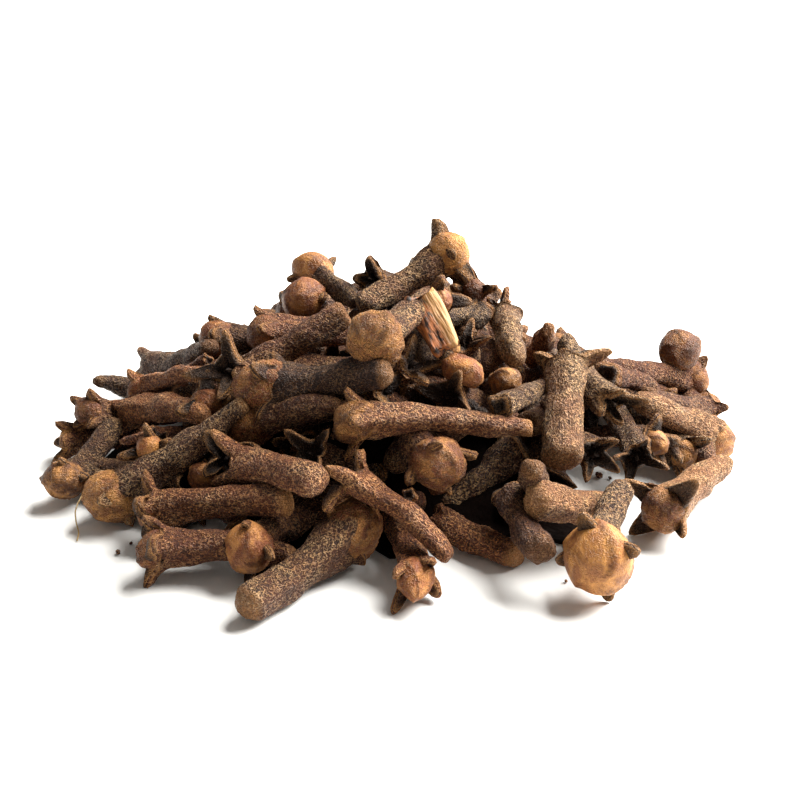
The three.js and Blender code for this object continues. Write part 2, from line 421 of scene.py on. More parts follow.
def make_clove(rng, kind, length, **given):
    """A clove's own sizes, all drawn in the same order, then overruled by what is given."""
    clove = SimpleNamespace(kind=kind, length=length, spread=1.0, sepals=1.0, sepal_thick=1.0)
    for name, (low, high), count in OWN_SIZES:
        drawn = rng.uniform(low, high, count)
        setattr(clove, name, USUAL_SIZES[name] * drawn if name in USUAL_SIZES else drawn)
    clove.cut = clove.cut ** 2
    clove.leafy = rng.uniform(0.3, 1.0) if kind == "open" else 0.0
    for name, value in given.items():
        setattr(clove, name, value)
    clove.sepal_spread = clove.sepal_spread * clove.spread
    clove.sepal_length = clove.sepal_length * clove.sepals
    if kind == "stem":
        clove.sepal_length = clove.sepal_length * BROKEN_SEPALS
        clove.flare = min(clove.flare, BROKEN_FLARE)
        clove.bud = clove.stem
    clove.bud_lift = clove.bud * clove.bud_height * BUD_SEAT
    clove.girth = clove.bud if kind == "budded" else clove.stem * OPEN_GIRTH
    clove.row = None
    set_length(clove, length)
    return clove


def set_length(clove, length):
    """Gives a clove its length, and so the height of its shoulder."""
    clove.length = length
    clove.shoulder = length - (clove.bud_lift if clove.kind == "budded" else OPEN_HEAD)


# ---- the cloves that can be told apart in the photograph ----------------------------------

# What a row may say of how its clove lies, and what holds when it doesn't: on the floor; its
# length, for one end that is hidden; whether that end is its head; mm over the dome, for both
# ends or for the tail alone; a pixel that one sepal points to; whether it's only a short bit.
LAYOUT_WORDS = {"ground": False, "length": None, "from_tail": False, "raised": 0.0,
                "tail_raise": None, "sepal": None, "short": False}


def seen(kind, head, tail, stem, **own):
    """A clove: pixels of its head's middle and its tail's end, stem radius, what is its own.

    With a length the tail is hidden, and its pixel only says which way the stem goes.
    """
    row = SimpleNamespace(kind=kind, head=head, tail=tail, stem=stem, own=own)
    for word, usual in LAYOUT_WORDS.items():
        setattr(row, word, own.pop(word, usual))
    if row.tail_raise is None:
        row.tail_raise = row.raised
    row.hidden_tail = row.length is not None and not row.from_tail
    row.loose = row.hidden_tail and not row.ground and not row.short
    return row


# From the front of the heap to the back: each one lies over those after it.

SEEN = {
    "front_right_big": seen("budded", (597, 568), (622, 500), 1.3, bud=2.48, bud_height=1.0,
        wrinkle=0.0, bud_warm=0.4, bud_tone=0.62, tone=0.8, warm=0.1, sepal=(583, 515), spread=1.0,
        sepals=1.35, leafy=0.3),
    "front_speckled": seen("budded", (350, 534), (242, 612), 1.6, ground=True, bud=2.2, wrinkle=0.9,
        bud_warm=0.8, bud_tone=0.65, tone=0.55, warm=0.3, taper=0.95, sepal=(376, 570), spread=1.0,
        cut=0.1, lumps=0.25, sepals=0.45),
    "slanting_front": seen("open", (350, 478), (450, 558), 1.12, leafy=0.0, sepal=(374, 461),
        spread=1.4, warm=0.85, tone=0.95, furrows=0.3, taper=0.8, cut=1.0, square=0.05),
    "front_cone": seen("budded", (416, 586), (384, 520), 1.2, ground=True, length=11.5, bud=1.35,
        bud_height=1.7, bud_point=0.45, wrinkle=0.2, bud_warm=0.75, bud_tone=0.7, sepal=(395, 570),
        spread=0.85, sepals=1.3, leafy=0.3, warm=0.9, tone=0.8, sepal_curl=np.full(4, -30.0)),
    "front_ball": seen("budded", (249, 551), (320, 514), 1.3, ground=True, length=10.5, bud=1.85,
        wrinkle=0.1, bud_warm=0.75, bud_tone=0.65, sepal=(250, 508), sepals=1.3, leafy=0.6,
        spread=0.9, tone=0.6, warm=0.5),
    "front_left_low": seen("budded", (157, 560), (258, 566), 1.32, ground=True, length=10.4,
        bud=1.5, wrinkle=0.8, bud_warm=1.0, bud_tone=0.1, sepal=(170, 521), spread=1.5, warm=0.7,
        tone=0.55),
    "left_flat_cut": seen("budded", (152, 511), (291, 501), 1.18, bud=1.25, bud_tone=0.5,
        bud_warm=0.6, pale_tail=1.0, sepal=(176, 470), spread=1.5, sepals=1.1, warm=0.75, tone=0.95,
        taper=0.95, bow=(0.3, 0.0), cut=1.0, lumps=0.2, square=0.06),
    "stubby_left": seen("budded", (243, 464), (320, 484), 1.25, bud=1.0, bud_tone=0.3, bud_warm=0.8,
        wrinkle=0.6, sepal=(226, 446), spread=0.6, sepals=1.25, taper=1.05, warm=0.75, tone=0.9,
        waist=0.05, lumps=0.3),
    "front_thick": seen("stem", (604, 511), (531, 499), 1.45, pale_tail=0.5, taper=1.0, tone=1.3,
        warm=0.55, tail_raise=0.5, bow=(0.0, 0.0), flare=1.0, lumps=0.25),
    "front_stub": seen("stem", (556, 512), (531, 465), 1.2, tone=0.35, warm=0.4, cut=0.0,
        tail_raise=0.6),
    "right_front": seen("budded", (662, 520), (727, 471), 1.5, bud=1.72, wrinkle=1.0, bud_warm=0.75,
        bud_tone=0.45, sepal=(628, 492), spread=1.35, sepals=1.2, leafy=0.6, tone=1.5, warm=0.45,
        flare=1.35, taper=0.72),
    "front_red_stem": seen("stem", (432, 517), (520, 556), 1.22, tone=0.9, warm=1.0, pale_tail=0.9,
        taper=0.9, furrows=0.25, ground=True, cut=1.0, bow=(0.3, 0.0)),
    # Low tone: painted shade, for a clove that lies in the shadow of those in front of it
    "front_ridged": seen("stem", (506, 494), (542, 556), 1.2, tone=0.15, warm=0.6, taper=1.1,
        furrows=0.35, pale_tail=0.2),
    "middle_ball": seen("budded", (437, 463), (372, 444), 1.4, length=11.5, bud=1.98, wrinkle=0.6,
        bud_warm=0.8, bud_tone=0.3, sepal=(426, 434), sepals=1.2, spread=0.85, leafy=0.3),
    "low_small_oval": seen("stem", (409, 495), (427, 509), 0.55, length=4.0, short=True, tone=0.5,
        warm=0.8),
    "across_middle": seen("budded", (355, 421), (531, 429), 1.24, bud=1.62, wrinkle=0.7,
        bud_warm=0.5, bud_tone=0.3, sepal=(367, 393), spread=1.0, warm=0.65, tone=0.9,
        pale_tail=1.0, taper=0.7, cut=1.0, pointed=0.3),
    # Tone below zero: its stem darkened as painted shade, for a stem in the shadow of the cloves
    # above
    "wrinkled_orange": seen("budded", (267, 388), (390, 372), 1.5, bud=2.0, wrinkle=1.4,
        bud_warm=0.9, bud_tone=0.65, sepal=(291, 362), spread=1.45, sepals=1.15, tone=-0.3,
        warm=0.5, bud_height=1.25, taper=0.8, pointed=0.4),
    "grey_slant": seen("stem", (519, 447), (441, 511), 1.5, tone=0.8, warm=0.1, taper=0.62,
        grains=0.1),
    "top_wrinkled_gold": seen("budded", (375, 339), (432, 296), 1.3, bud=2.15, wrinkle=1.0,
        bud_warm=0.5, bud_tone=0.5, sepal=(371, 311), sepals=0.75, spread=0.6, tone=0.75, warm=0.3,
        bud_height=0.88, taper=0.9),
    "gaping_left": seen("budded", (250, 427), (345, 405), 1.15, bud=1.6, bud_height=1.35,
        wrinkle=1.5, bud_warm=0.8, bud_tone=0.25, sepal=(270, 446), tone=0.5, warm=0.4, spread=0.7),
    "left_golden": seen("budded", (112, 497), (246, 402), 1.42, bud=2.05, wrinkle=0.6,
        bud_warm=0.35, bud_tone=0.5, sepal=(122, 453), tone=0.8, warm=0.1, taper=0.55, spread=0.9,
        sepals=0.9),
    "left_dark_open": seen("open", (226, 458), (262, 474), 1.1, length=10.0, leafy=0.9, tone=0.1,
        warm=0.2, sepal=(214, 440)),
    "left_tan_bud": seen("budded", (204, 479), (232, 466), 0.9, length=9.5, bud=1.3, bud_height=1.0,
        bud_point=0.1, bud_warm=0.6, bud_tone=0.25, wrinkle=0.0, sepals=0.4, raised=-3.5),
    "left_olive_ball": seen("budded", (64, 480), (117, 420), 1.12, bud=1.58, wrinkle=0.3,
        bud_warm=0.3, bud_tone=-0.2, tone=0.35, warm=0.15, sepal=(66, 456), sepals=0.7),
    "left_pale_bud": seen("budded", (150, 449), (200, 462), 1.0, length=10.0, bud=1.05,
        bud_tone=0.9, bud_warm=0.55, wrinkle=0.1, sepal=(133, 452)),
    "far_left_flower": seen("budded", (70, 440), (120, 412), 1.15, length=10.0, bud=1.0, spread=0.7,
        sepals=0.9, bud_tone=0.7, bud_warm=0.3, tone=0.6, warm=0.7, sepal=(60, 414), pointed=0.0),
    "left_stick": seen("stem", (165, 433), (173, 446), 0.35, length=3.0, short=True, tone=0.6,
        warm=0.5),
    "left_pink_head": seen("open", (130, 413), (207, 416), 1.25, leafy=0.2, warm=0.9, tone=1.1,
        sepal=(114, 406), spread=0.6, taper=0.7),
    "left_orange_bit": seen("stem", (160, 432), (119, 442), 0.45, length=4.2, short=True, warm=1.0,
        tone=0.5),
    "far_left_behind": seen("budded", (90, 412), (135, 408), 1.2, length=10.0, bud=1.3,
        bud_tone=0.2, bud_warm=0.9, tone=0.3, warm=0.7, sepal=(72, 404), spread=0.6, sepals=0.8,
        pointed=0.0),
    "left_lumpy_head": seen("budded", (141, 390), (210, 376), 0.88, bud=1.12, bud_warm=0.8,
        bud_tone=0.75, warm=0.95, tone=1.1, wrinkle=0.5),
    "upper_left_sliver": seen("stem", (212, 358), (172, 377), 0.5, length=4.6, short=True, warm=0.9,
        tone=0.5),
    "upper_left_sepals": seen("open", (152, 366), (212, 344), 1.15, leafy=0.1, sepal=(132, 340),
        spread=0.35, tone=0.25, warm=0.4),
    "far_left_tail": seen("budded", (160, 402), (94, 386), 1.05, length=11.0, from_tail=True,
        tone=0.15, warm=0.1, taper=0.6, bud=1.4),
    "oval_left": seen("budded", (208, 404), (175, 418), 1.1, length=9.5, bud=1.3, bud_height=0.8,
        bud_warm=1.0, bud_tone=0.35, wrinkle=0.2),
    "knob_left": seen("open", (229, 370), (262, 400), 1.2, length=10.0, leafy=0.25, sepals=1.15,
        sepal=(228, 349), spread=1.4, tone=0.55, warm=0.4),
    "leaning_left": seen("open", (252, 374), (347, 313), 1.25, leafy=0.0, spread=0.35,
        sepal=(234, 391), pale_tail=0.5, taper=0.95, cut=0.9, warm=0.6, tone=0.55, sepals=1.2),
    "upper_left_lumps": seen("budded", (264, 333), (310, 352), 1.2, length=10.5, bud=1.45,
        bud_warm=1.0, bud_tone=0.3, warm=0.8, wrinkle=0.6),
    "upper_left_ball": seen("budded", (217, 338), (260, 352), 1.2, length=10.5, bud=1.55,
        bud_tone=0.25, bud_warm=0.8, sepal=(222, 314), tone=0.25, warm=0.3, spread=1.2,
        wrinkle=0.2),
    "upright": seen("open", (566, 360), (562, 464), 1.55, leafy=0.0, sepal=(612, 356),
        sepal_spread=np.array([78, 22, 66, 20]), sepal_length=np.array([1.15, 1.3, 0.7, 0.25]),
        sepal_curl=np.array([-10, 0, -40, 0]), tone=1.2, warm=0.3, taper=1.08, raised=1.5,
        tail_raise=0.5, grains=0.11, flare=1.1, square=0.02, cut=0.2, bow=(0.0, 0.0), pointed=0.5,
        waist=0.0, lumps=0.2),
    "right_open_a": seen("open", (596, 455), (584, 436), 1.1, length=9.5, leafy=0.9, spread=1.1,
        tone=0.5, warm=0.2, sepal=(612, 424), pointed=0.5),
    "right_open_b": seen("open", (637, 459), (626, 440), 1.15, length=9.5, leafy=0.9, spread=1.1,
        tone=0.45, warm=0.2, sepal=(642, 430), pointed=0.6),
    "right_olive_knob": seen("budded", (684, 464), (692, 500), 1.25, length=9.5, bud=1.2,
        bud_warm=0.2, bud_tone=0.3, spread=0.5, tone=0.5, warm=0.1, sepal=(691, 440)),
    "right_pale_oval": seen("budded", (655, 442), (634, 420), 1.0, length=9.0, bud=1.05,
        bud_height=1.25, bud_tone=0.4, bud_warm=0.5, wrinkle=0.0),
    "right_hollow": seen("open", (613, 404), (566, 338), 1.25, leafy=0.4, tone=0.9, warm=0.1,
        sepal=(634, 400), spread=0.35, taper=0.8, raised=0.6),
    "right_long": seen("budded", (719, 441), (640, 404), 1.4, bud=1.62, bud_warm=0.55, bud_tone=0.9,
        warm=0.5, tone=1.3, wrinkle=0.5, bud_height=1.35, spread=0.5, sepals=0.45),
    "right_short": seen("budded", (710, 408), (650, 393), 1.1, bud=1.35, bud_warm=0.6, bud_tone=0.4,
        tone=0.4, sepal=(712, 393), wrinkle=0.4, sepals=0.5),
    "back_right_low": seen("stem", (606, 376), (666, 397), 1.05, tone=0.4, warm=0.8, pale_tail=0.6),
    "back_right_head": seen("budded", (690, 379), (594, 366), 1.1, bud=1.75, bud_warm=0.7,
        bud_tone=0.35, warm=0.8, tone=0.5, wrinkle=0.1, sepal=(667, 357), sepals=0.9, spread=0.9,
        leafy=0.3),
    "back_right_ball": seen("budded", (680, 350), (697, 374), 0.95, length=10.5, bud=1.78,
        bud_tone=0.25, bud_warm=0.8, wrinkle=0.4, sepal=(678, 366), sepals=0.2, flare=0.9),
    "middle_open": seen("open", (447, 398), (440, 384), 1.25, length=9.5, leafy=0.7, spread=1.1,
        tone=0.35, warm=0.5, sepal=(462, 367), pointed=0.3),
    "middle_pale_stub": seen("stem", (497, 407), (545, 386), 0.98, tone=0.6, warm=0.0),
    "middle_lump": seen("stem", (474, 409), (478, 428), 1.1, length=8.0, tone=0.7, warm=0.3),
    "middle_brown_bud": seen("budded", (463, 371), (438, 343), 0.6, short=True, bud=1.2,
        bud_height=1.5, bud_warm=0.75, bud_tone=0.7, wrinkle=0.15, sepals=0.05, raised=0.8),
    "middle_grey_curl": seen("open", (388, 393), (352, 400), 1.25, length=9.5, leafy=0.1, tone=0.6,
        warm=0.1, sepal=(408, 398)),
    "middle_bits": seen("open", (412, 365), (398, 384), 0.85, length=8.6, tone=0.6, warm=0.5,
        leafy=0.3),
    "under_gaping": seen("open", (308, 453), (365, 446), 1.15, length=10.0, leafy=0.9, tone=0.4,
        warm=0.5, sepal=(289, 434)),
    "peak": seen("budded", (448, 254), (358, 308), 1.2, bud=1.85, wrinkle=0.5, bud_warm=0.25,
        bud_tone=1.1, tone=0.9, warm=0.2, sepal=(431, 221), pointed=0.0,
        sepal_spread=np.array([56, 78, 85, 60]), sepal_length=np.array([1.0, 0.5, 1.1, 0.6]),
        sepal_curl=np.array([5, -25, 5, -30]), raised=1.8, tail_raise=-3.0, taper=0.95, cut=0.0,
        sepal_thick=1.7),
    "top_small_bud": seen("budded", (438, 301), (395, 318), 1.0, length=10.0, bud=1.15,
        bud_warm=0.7, bud_tone=0.8, wrinkle=0.0),
    "top_knobbly": seen("stem", (482, 316), (424, 318), 1.2, tone=0.35, warm=0.05, lumps=0.4,
        raised=0.8),
    "top_olive_stub": seen("stem", (507, 314), (517, 362), 1.25, tone=1.1, warm=0.1, tail_raise=0.8,
        flare=1.2),
    "top_red_ball": seen("budded", (303, 299), (285, 345), 1.15, length=10.5, bud=1.95, wrinkle=0.1,
        bud_warm=0.85, bud_tone=0.5, sepal=(269, 294), tone=0.3, spread=1.0, sepals=0.8),
    "top_tan_ball": seen("budded", (312, 271), (356, 303), 0.95, bud=1.65, wrinkle=0.1,
        bud_warm=0.5, bud_tone=0.5, sepal=(341, 266), tone=0.4, warm=0.1, spread=1.0, sepals=1.0,
        sepal_spread=np.array([75, 25, 60, 25]), sepal_length=np.array([1.15, 0.3, 0.9, 0.3])),
    "top_dark_lumps": seen("open", (370, 279), (410, 296), 1.2, length=10.0, leafy=0.1, tone=0.35,
        warm=0.4, sepal=(372, 260), spread=0.7, sepals=0.65),
    "top_red_knob": seen("budded", (473, 291), (497, 315), 0.95, length=9.5, bud=0.98, bud_warm=1.0,
        bud_tone=0.2, warm=0.9, wrinkle=0.3),
    "back_pink_bit": seen("open", (497, 303), (520, 318), 0.95, length=9.5, leafy=0.1, tone=0.8,
        warm=0.9, spread=0.5, sepals=0.7),
    "top_tan_flap": seen("open", (463, 341), (500, 350), 0.95, length=9.5, leafy=0.8, tone=0.7,
        warm=0.4),
    "top_pink_square": seen("stem", (530, 358), (546, 330), 0.95, length=9.5, from_tail=True,
        tone=1.2, warm=0.9, pale_tail=0.5, cut=1.0),
    "middle_shell": seen("budded", (506, 382), (530, 350), 1.0, length=9.5, bud=1.15, bud_warm=0.15,
        bud_tone=-0.45, tone=0.1, warm=0.3, sepal=(498, 398), spread=0.6, bud_height=1.3,
        sepals=0.3, wrinkle=0.2),
    "back_right_grey": seen("stem", (604, 386), (655, 399), 0.95, length=8.8, tone=0.35, warm=0.1),
}

# The heap's outline in the photograph, along its top and along its foot, from left to right
UPPER_OUTLINE = [(43, 440), (62, 415), (88, 372), (107, 388), (129, 386), (131, 360), (152, 357),
                 (200, 340), (203, 330), (221, 318), (245, 330), (255, 321), (267, 318),
                 (270, 297), (290, 284), (297, 262), (312, 253), (330, 262), (340, 290),
                 (356, 284), (372, 263), (395, 268), (431, 222), (460, 230), (468, 262),
                 (474, 279), (488, 292), (510, 300), (515, 330), (533, 330), (536, 316),
                 (553, 318), (558, 345), (590, 352), (610, 352), (655, 358), (662, 340),
                 (680, 334), (699, 352), (707, 380), (722, 395), (728, 415), (737, 445)]
LOWER_OUTLINE = [(43, 500), (60, 503), (85, 525), (135, 527), (150, 588), (235, 628), (330, 585),
                 (385, 590), (395, 612), (438, 610), (455, 568), (500, 572), (542, 577),
                 (560, 560), (600, 610), (640, 560), (690, 550), (735, 470)]

# Places where the bare floor shows between the cloves: pixel and radius in pixels
FLOOR_GAPS = [((606, 482), 20), ((641, 479), 7), ((637, 520), 7), ((213, 541), 13),
              ((455, 592), 22), ((365, 605), 20)]


def dome(x, y):
    """Height of the cloves' upper side."""
    reach = np.hypot(x / HALF_X, y / HALF_Y)
    return DOME_HEIGHT * np.maximum(0, 1 - reach ** DOME_STEEPNESS)


def on_height(pixel, height):
    """Where the line of sight through a pixel comes down to a height."""
    line = sight_line(pixel)
    return CAMERA_PLACE + line * (height - CAMERA_PLACE[2]) / line[2]


SIGHT_STEPS = np.arange(90.0, 180.0, 0.1)  # mm from the camera, across the whole heap
SUNK = 0.8  # of its radius, how deep a clove on the heap lies under the dome
EDGE_REACH = 0.93  # share of the heap's half width that a clove's ends keep within
EDGE_PULL = 60.0  # how strongly an end beyond it is drawn back


def on_heap(pixel, radius, raised=0.0):
    """Where the line of sight through a pixel meets the middle of a clove on the heap."""
    points = CAMERA_PLACE + SIGHT_STEPS[:, None] * sight_line(pixel)
    top = np.maximum(dome(points[:, 0], points[:, 1]) - SUNK * radius, radius) + raised
    gap = points[:, 2] - top
    under = np.nonzero(gap <= 0)[0]
    hit = under[0] if len(under) else int(np.argmin(gap))
    reach = np.hypot(points[:, 0] / HALF_X, points[:, 1] / HALF_Y)
    if reach[hit] > EDGE_REACH:
        hit = int(np.argmin(np.abs(gap) + EDGE_PULL * np.maximum(reach - EDGE_REACH, 0)))
    return points[hit]


def at_distance(start, pixel, length):
    """The point on a line of sight that is a length from another point, on its far side."""
    line = unit(sight_line(pixel))
    along = float(np.dot(start - CAMERA_PLACE, line))
    miss = float(np.linalg.norm(CAMERA_PLACE + along * line - start))
    reach = math.sqrt(max(length * length - miss * miss, 0.0))
    return start + unit(CAMERA_PLACE + (along + reach) * line - start) * length


def first_ends(row, clove):
    """Where a clove's head and tail lie before the cloves are put in order."""
    length, tail_radius = row.length, clove.stem * clove.taper
    if row.ground:
        head, tail = on_height(row.head, clove.girth), on_height(row.tail, tail_radius)
        return head, head + unit(tail - head) * length if length else tail
    if length and row.from_tail:
        tail = on_heap(row.tail, tail_radius, row.tail_raise)
        return at_distance(tail, row.head, length), tail
    head = on_heap(row.head, clove.girth, row.raised)
    if length:
        return head, at_distance(head, row.tail, length)
    return head, on_heap(row.tail, tail_radius, row.tail_raise)


STEM_SLIMMING = 0.9  # the skin's lumps add to the radii as they were measured
SEEDS_APART = 1000


def seen_cloves():
    """The cloves of the photograph as bodies, still lying through one another."""
    bodies = []
    for number, row in enumerate(SEEN.values()):
        rng = np.random.RandomState(SEED * SEEDS_APART + number)
        clove = make_clove(rng, row.kind, row.length or CLOVE_LENGTH[0],
                           stem=row.stem * STEM_SLIMMING, **row.own)
        clove.row = row
        clove.head, clove.tail = first_ends(row, clove)
        bodies.append(clove)
    return bodies


# ---- putting the seen cloves in order -----------------------------------------------------

SPHERES = 8  # along each clove, the last one its head
SPHERE_SHARES = np.linspace(0.05, 1.0, SPHERES)
TIGHTNESS = 0.86  # how close two spheres come, as a share of their radii
BARELY = 0.82  # cloves that overlap this little in the picture may lie in either order
ORDER_ROUNDS, LAST_ROUNDS = 260, 20
STEP = 0.7  # of the move that would clear a clove, in each round
PULL_BACK = 0.03  # towards where a clove lay at first, until the last rounds
GROUND_GIVE, GROUND_PULL = 0.12, 0.2  # a clove on the floor hardly moves
SHORTEST_BIT = 3.0  # mm
FLOOR_GAP = 0.03  # mm between the floor and a clove's spheres


def sphere_radii(clove):
    """Radii of the spheres that stand for a clove."""
    radii = clove.stem * (clove.taper + (1 - clove.taper) * SPHERE_SHARES)
    radii[-1] = clove.girth
    return radii


def chain_points(head, tail, share=SPHERE_SHARES):
    """Middles of the spheres that stand for one clove, or for each of many."""
    return tail[..., None, :] * (1 - share)[..., None] + head[..., None, :] * share[..., None]


def depth_limits(lines, radius):
    """How near and how far each end may go and stay on the floor and in the box."""
    far = (radius + FLOOR_GAP - CAMERA_PLACE[2]) / lines[:, 2]
    back = (HALF_Y - radius - BOX_MARGIN - CAMERA_PLACE[1]) / lines[:, 1]
    near = (-HALF_Y + radius + BOX_MARGIN - CAMERA_PLACE[1]) / lines[:, 1]
    high = (TOP_Z - radius - BOX_MARGIN - CAMERA_PLACE[2]) / lines[:, 2]
    return np.maximum(near, high), np.minimum(far, back)


def worst_pairs(depth, lines, share, radius):
    """How far each clove is from clearing the ones before it, and at which spheres."""
    count = len(radius)
    ends = [CAMERA_PLACE + d[:, None] * line for d, line in zip(depth, lines)]
    column, row, far = as_seen(chain_points(*ends, share).reshape(-1, 3))
    scale = far / FOCAL_PIXELS
    r = radius.reshape(-1) * TIGHTNESS
    across = np.hypot(column[:, None] - column[None], row[:, None] - row[None])
    across = across * (scale[:, None] + scale[None]) / 2
    reach = r[:, None] + r[None]
    room = np.sqrt(np.maximum(reach ** 2 - across ** 2, 0))
    lead = far[None] - far[:, None]
    swapped = (across > BARELY * reach) & (lead < 0)
    wrong = np.where(room > 0, np.where(swapped, room + lead, room - lead), -9)
    front, back = np.triu_indices(count, 1)
    by_pair = [m.reshape(count, SPHERES, count, SPHERES).transpose(0, 2, 1, 3)
               .reshape(count, count, -1)[front, back] for m in (wrong, swapped)]
    worst = by_pair[0].argmax(1)
    each = np.arange(len(worst))
    amount = by_pair[0][each, worst]
    way = np.where(by_pair[1][each, worst], -1.0, 1.0)
    hit = amount > 0
    return front[hit], back[hit], amount[hit], worst[hit], way[hit]


def clearing_moves(depth, lines, share, radius, give):
    """How far each clove's head and tail move to clear the others, and how many it touches."""
    moves, hits = [np.zeros(len(give)), np.zeros(len(give))], np.zeros(len(give))
    front, back, amount, worst, way = worst_pairs(depth, lines, share, radius)
    total = give[front] + give[back]
    for who, part, sign in ((front, worst // SPHERES, -1.0), (back, worst % SPHERES, 1.0)):
        s = share[who, part]
        step = way * sign * amount * give[who] / total / (s ** 2 + (1 - s) ** 2)
        np.add.at(moves[0], who, step * s)
        np.add.at(moves[1], who, step * (1 - s))
        np.add.at(hits, who, 1.0)
    return moves, hits


def with_length(depth, lines, lowest, limits):
    """Moves both ends of each clove along the view until its length is between its limits."""
    aside = np.linalg.norm((lines[0] - lines[1]) * (depth[0] + depth[1])[:, None] / 2, axis=1)
    apart = depth[0] - depth[1]
    least = np.sqrt(np.maximum(lowest ** 2 - aside ** 2, 0))
    most = np.sqrt(np.maximum(LONGEST ** 2 - aside ** 2, 0.01))
    wanted = np.where(apart == 0, -1.0, np.sign(apart)) * np.clip(np.abs(apart), least, most)
    middle = (depth[0] + depth[1]) / 2
    return [np.clip(middle + wanted / 2, *limits[0]), np.clip(middle - wanted / 2, *limits[1])]


def put_in_order(bodies):
    """Slides the cloves along their lines of sight until each clears those before it."""
    loose, ground = (np.array([getattr(c.row, word) for c in bodies]) for word in ("loose", "ground"))
    radius = np.array([sphere_radii(c) for c in bodies])
    share = np.where(loose[:, None], 1.0, SPHERE_SHARES[None, :])
    radius = np.where(loose[:, None], radius[:, -1:], radius)
    lines, depth, limits = [], [], []
    for end, sphere in (("head", -1), ("tail", 0)):
        away = np.array([getattr(c, end) for c in bodies]) - CAMERA_PLACE
        far = away @ CAMERA_FORWARD
        lines.append(away / far[:, None])
        depth.append(far)
        limits.append(depth_limits(lines[-1], radius[:, sphere]))
    first = [d.copy() for d in depth]
    give = np.where(ground, GROUND_GIVE, 1.0)
    lowest = np.array([SHORTEST_BIT if c.row.short else SHORTEST for c in bodies])
    for k in range(ORDER_ROUNDS):
        moves, hits = clearing_moves(depth, lines, share, radius, give)
        pull = np.where(ground, GROUND_PULL, PULL_BACK * (k < ORDER_ROUNDS - LAST_ROUNDS))
        for side in (0, 1):
            depth[side] += STEP * moves[side] / np.maximum(np.sqrt(hits), 1)
            depth[side] += (first[side] - depth[side]) * pull
            depth[side] = np.clip(depth[side], *limits[side])
        depth = with_length(depth, lines, lowest, limits)
    for i, clove in enumerate(bodies):
        clove.head = CAMERA_PLACE + depth[0][i] * lines[0][i]
        clove.tail = CAMERA_PLACE + depth[1][i] * lines[1][i]
        if clove.row.ground and clove.row.hidden_tail:
            clove.tail = clove.head + unit(clove.tail - clove.head) * clove.length
        if not clove.row.loose:
            set_length(clove, float(np.linalg.norm(clove.head - clove.tail)))


COVERED_WITHIN = 0.9  # of a placed sphere's radius: what lies there is behind it
COVERS_WITHIN = 0.5  # of a placed sphere's radius: what reaches there hides it
UNDERSIDE = 0.98  # of a sphere's radius: how low its middle may lie


class Placed:
    """The spheres of the cloves that have their place, in the heap and as the camera sees them."""

    def __init__(self):
        self.points = np.zeros((0, 3))
        self.radius = np.zeros(0)
        self.column = self.row = self.far = self.size = np.zeros(0)

    def add(self, points, radius):
        self.points = np.vstack([self.points, points])
        self.radius = np.concatenate([self.radius, radius])
        self.column, self.row, self.far = as_seen(self.points)
        self.size = self.radius * FOCAL_PIXELS / self.far

    def overlaps(self, points, radius):
        """How deep each sphere cuts into the placed ones, at its worst."""
        gap = np.linalg.norm(points[:, None] - self.points[None], axis=2)
        return (radius[:, None] + self.radius[None] - gap).max(axis=1)

    def seen_from_camera(self, points, radius):
        """For each sphere: if it's covered, if it covers a placed one, and its own picture."""
        column, row, far = as_seen(points)
        size = radius * FOCAL_PIXELS / far
        apart = np.hypot(column[:, None] - self.column[None], row[:, None] - self.row[None])
        nearer = far[:, None] < self.far[None]
        covered = ((apart < self.size[None] * COVERED_WITHIN) & ~nearer).any(axis=1)
        covers = ((apart < size[:, None] + self.size[None] * COVERS_WITHIN) & nearer).any(axis=1)
        return covered, covers, column, row, size


def in_the_box(points, radius):
    reach = radius + BOX_MARGIN
    return ((np.abs(points[:, 0]) + reach < HALF_X).all()
            and (np.abs(points[:, 1]) + reach < HALF_Y).all()
            and (points[:, 2] + reach < TOP_Z).all() and (points[:, 2] > radius * UNDERSIDE).all())


def in_floor_gap(column, row, size):
    return any((np.hypot(column - c, row - w) < r + size).any() for (c, w), r in FLOOR_GAPS)


def outside_outline(column, row, size):
    """For each sphere, whether it would stick out of the heap's outline in the photograph."""
    upper, lower = np.array(UPPER_OUTLINE, float), np.array(LOWER_OUTLINE, float)
    over = row - size < np.interp(column, upper[:, 0], upper[:, 1])
    under = row + size > np.interp(column, lower[:, 0], lower[:, 1])
    return over | under | (column - size < upper[0, 0]) | (column + size > upper[-1, 0])


TAIL_TURNS = 20  # directions tried for a hidden tail, round the line of sight
TAIL_LEANS = (-0.25, 0.0, 0.25, 0.5, 0.75, 1.0, 1.25, 1.45, 1.57)  # radians away from the camera
OVERLAP_COST, SHOWING_COST, COVERING_COST, TURN_COST, OUTSIDE_COST = 1.0, 1.2, 1.5, 1.0, 4.0
FREE_OVERLAP = 0.25  # mm by which cloves may press into each other
TAIL_PART = 0.75  # share of a clove, from its tail, that would rather be hidden


def tail_cost(others, points, radius):
    """How badly a stem lies among the other cloves, or None where it can't lie at all."""
    if not in_the_box(points, radius):
        return None
    covered, covers, column, row, size = others.seen_from_camera(points, radius)
    if in_floor_gap(column, row, size):
        return None
    deep = np.maximum(others.overlaps(points, radius) - FREE_OVERLAP, 0)
    showing = ~covered & (SPHERE_SHARES[:-1] < TAIL_PART)
    outside = outside_outline(column, row, size)
    return (OUTSIDE_COST * outside.sum() + OVERLAP_COST * deep.sum()
            + SHOWING_COST * showing.sum() + COVERING_COST * covers.sum())


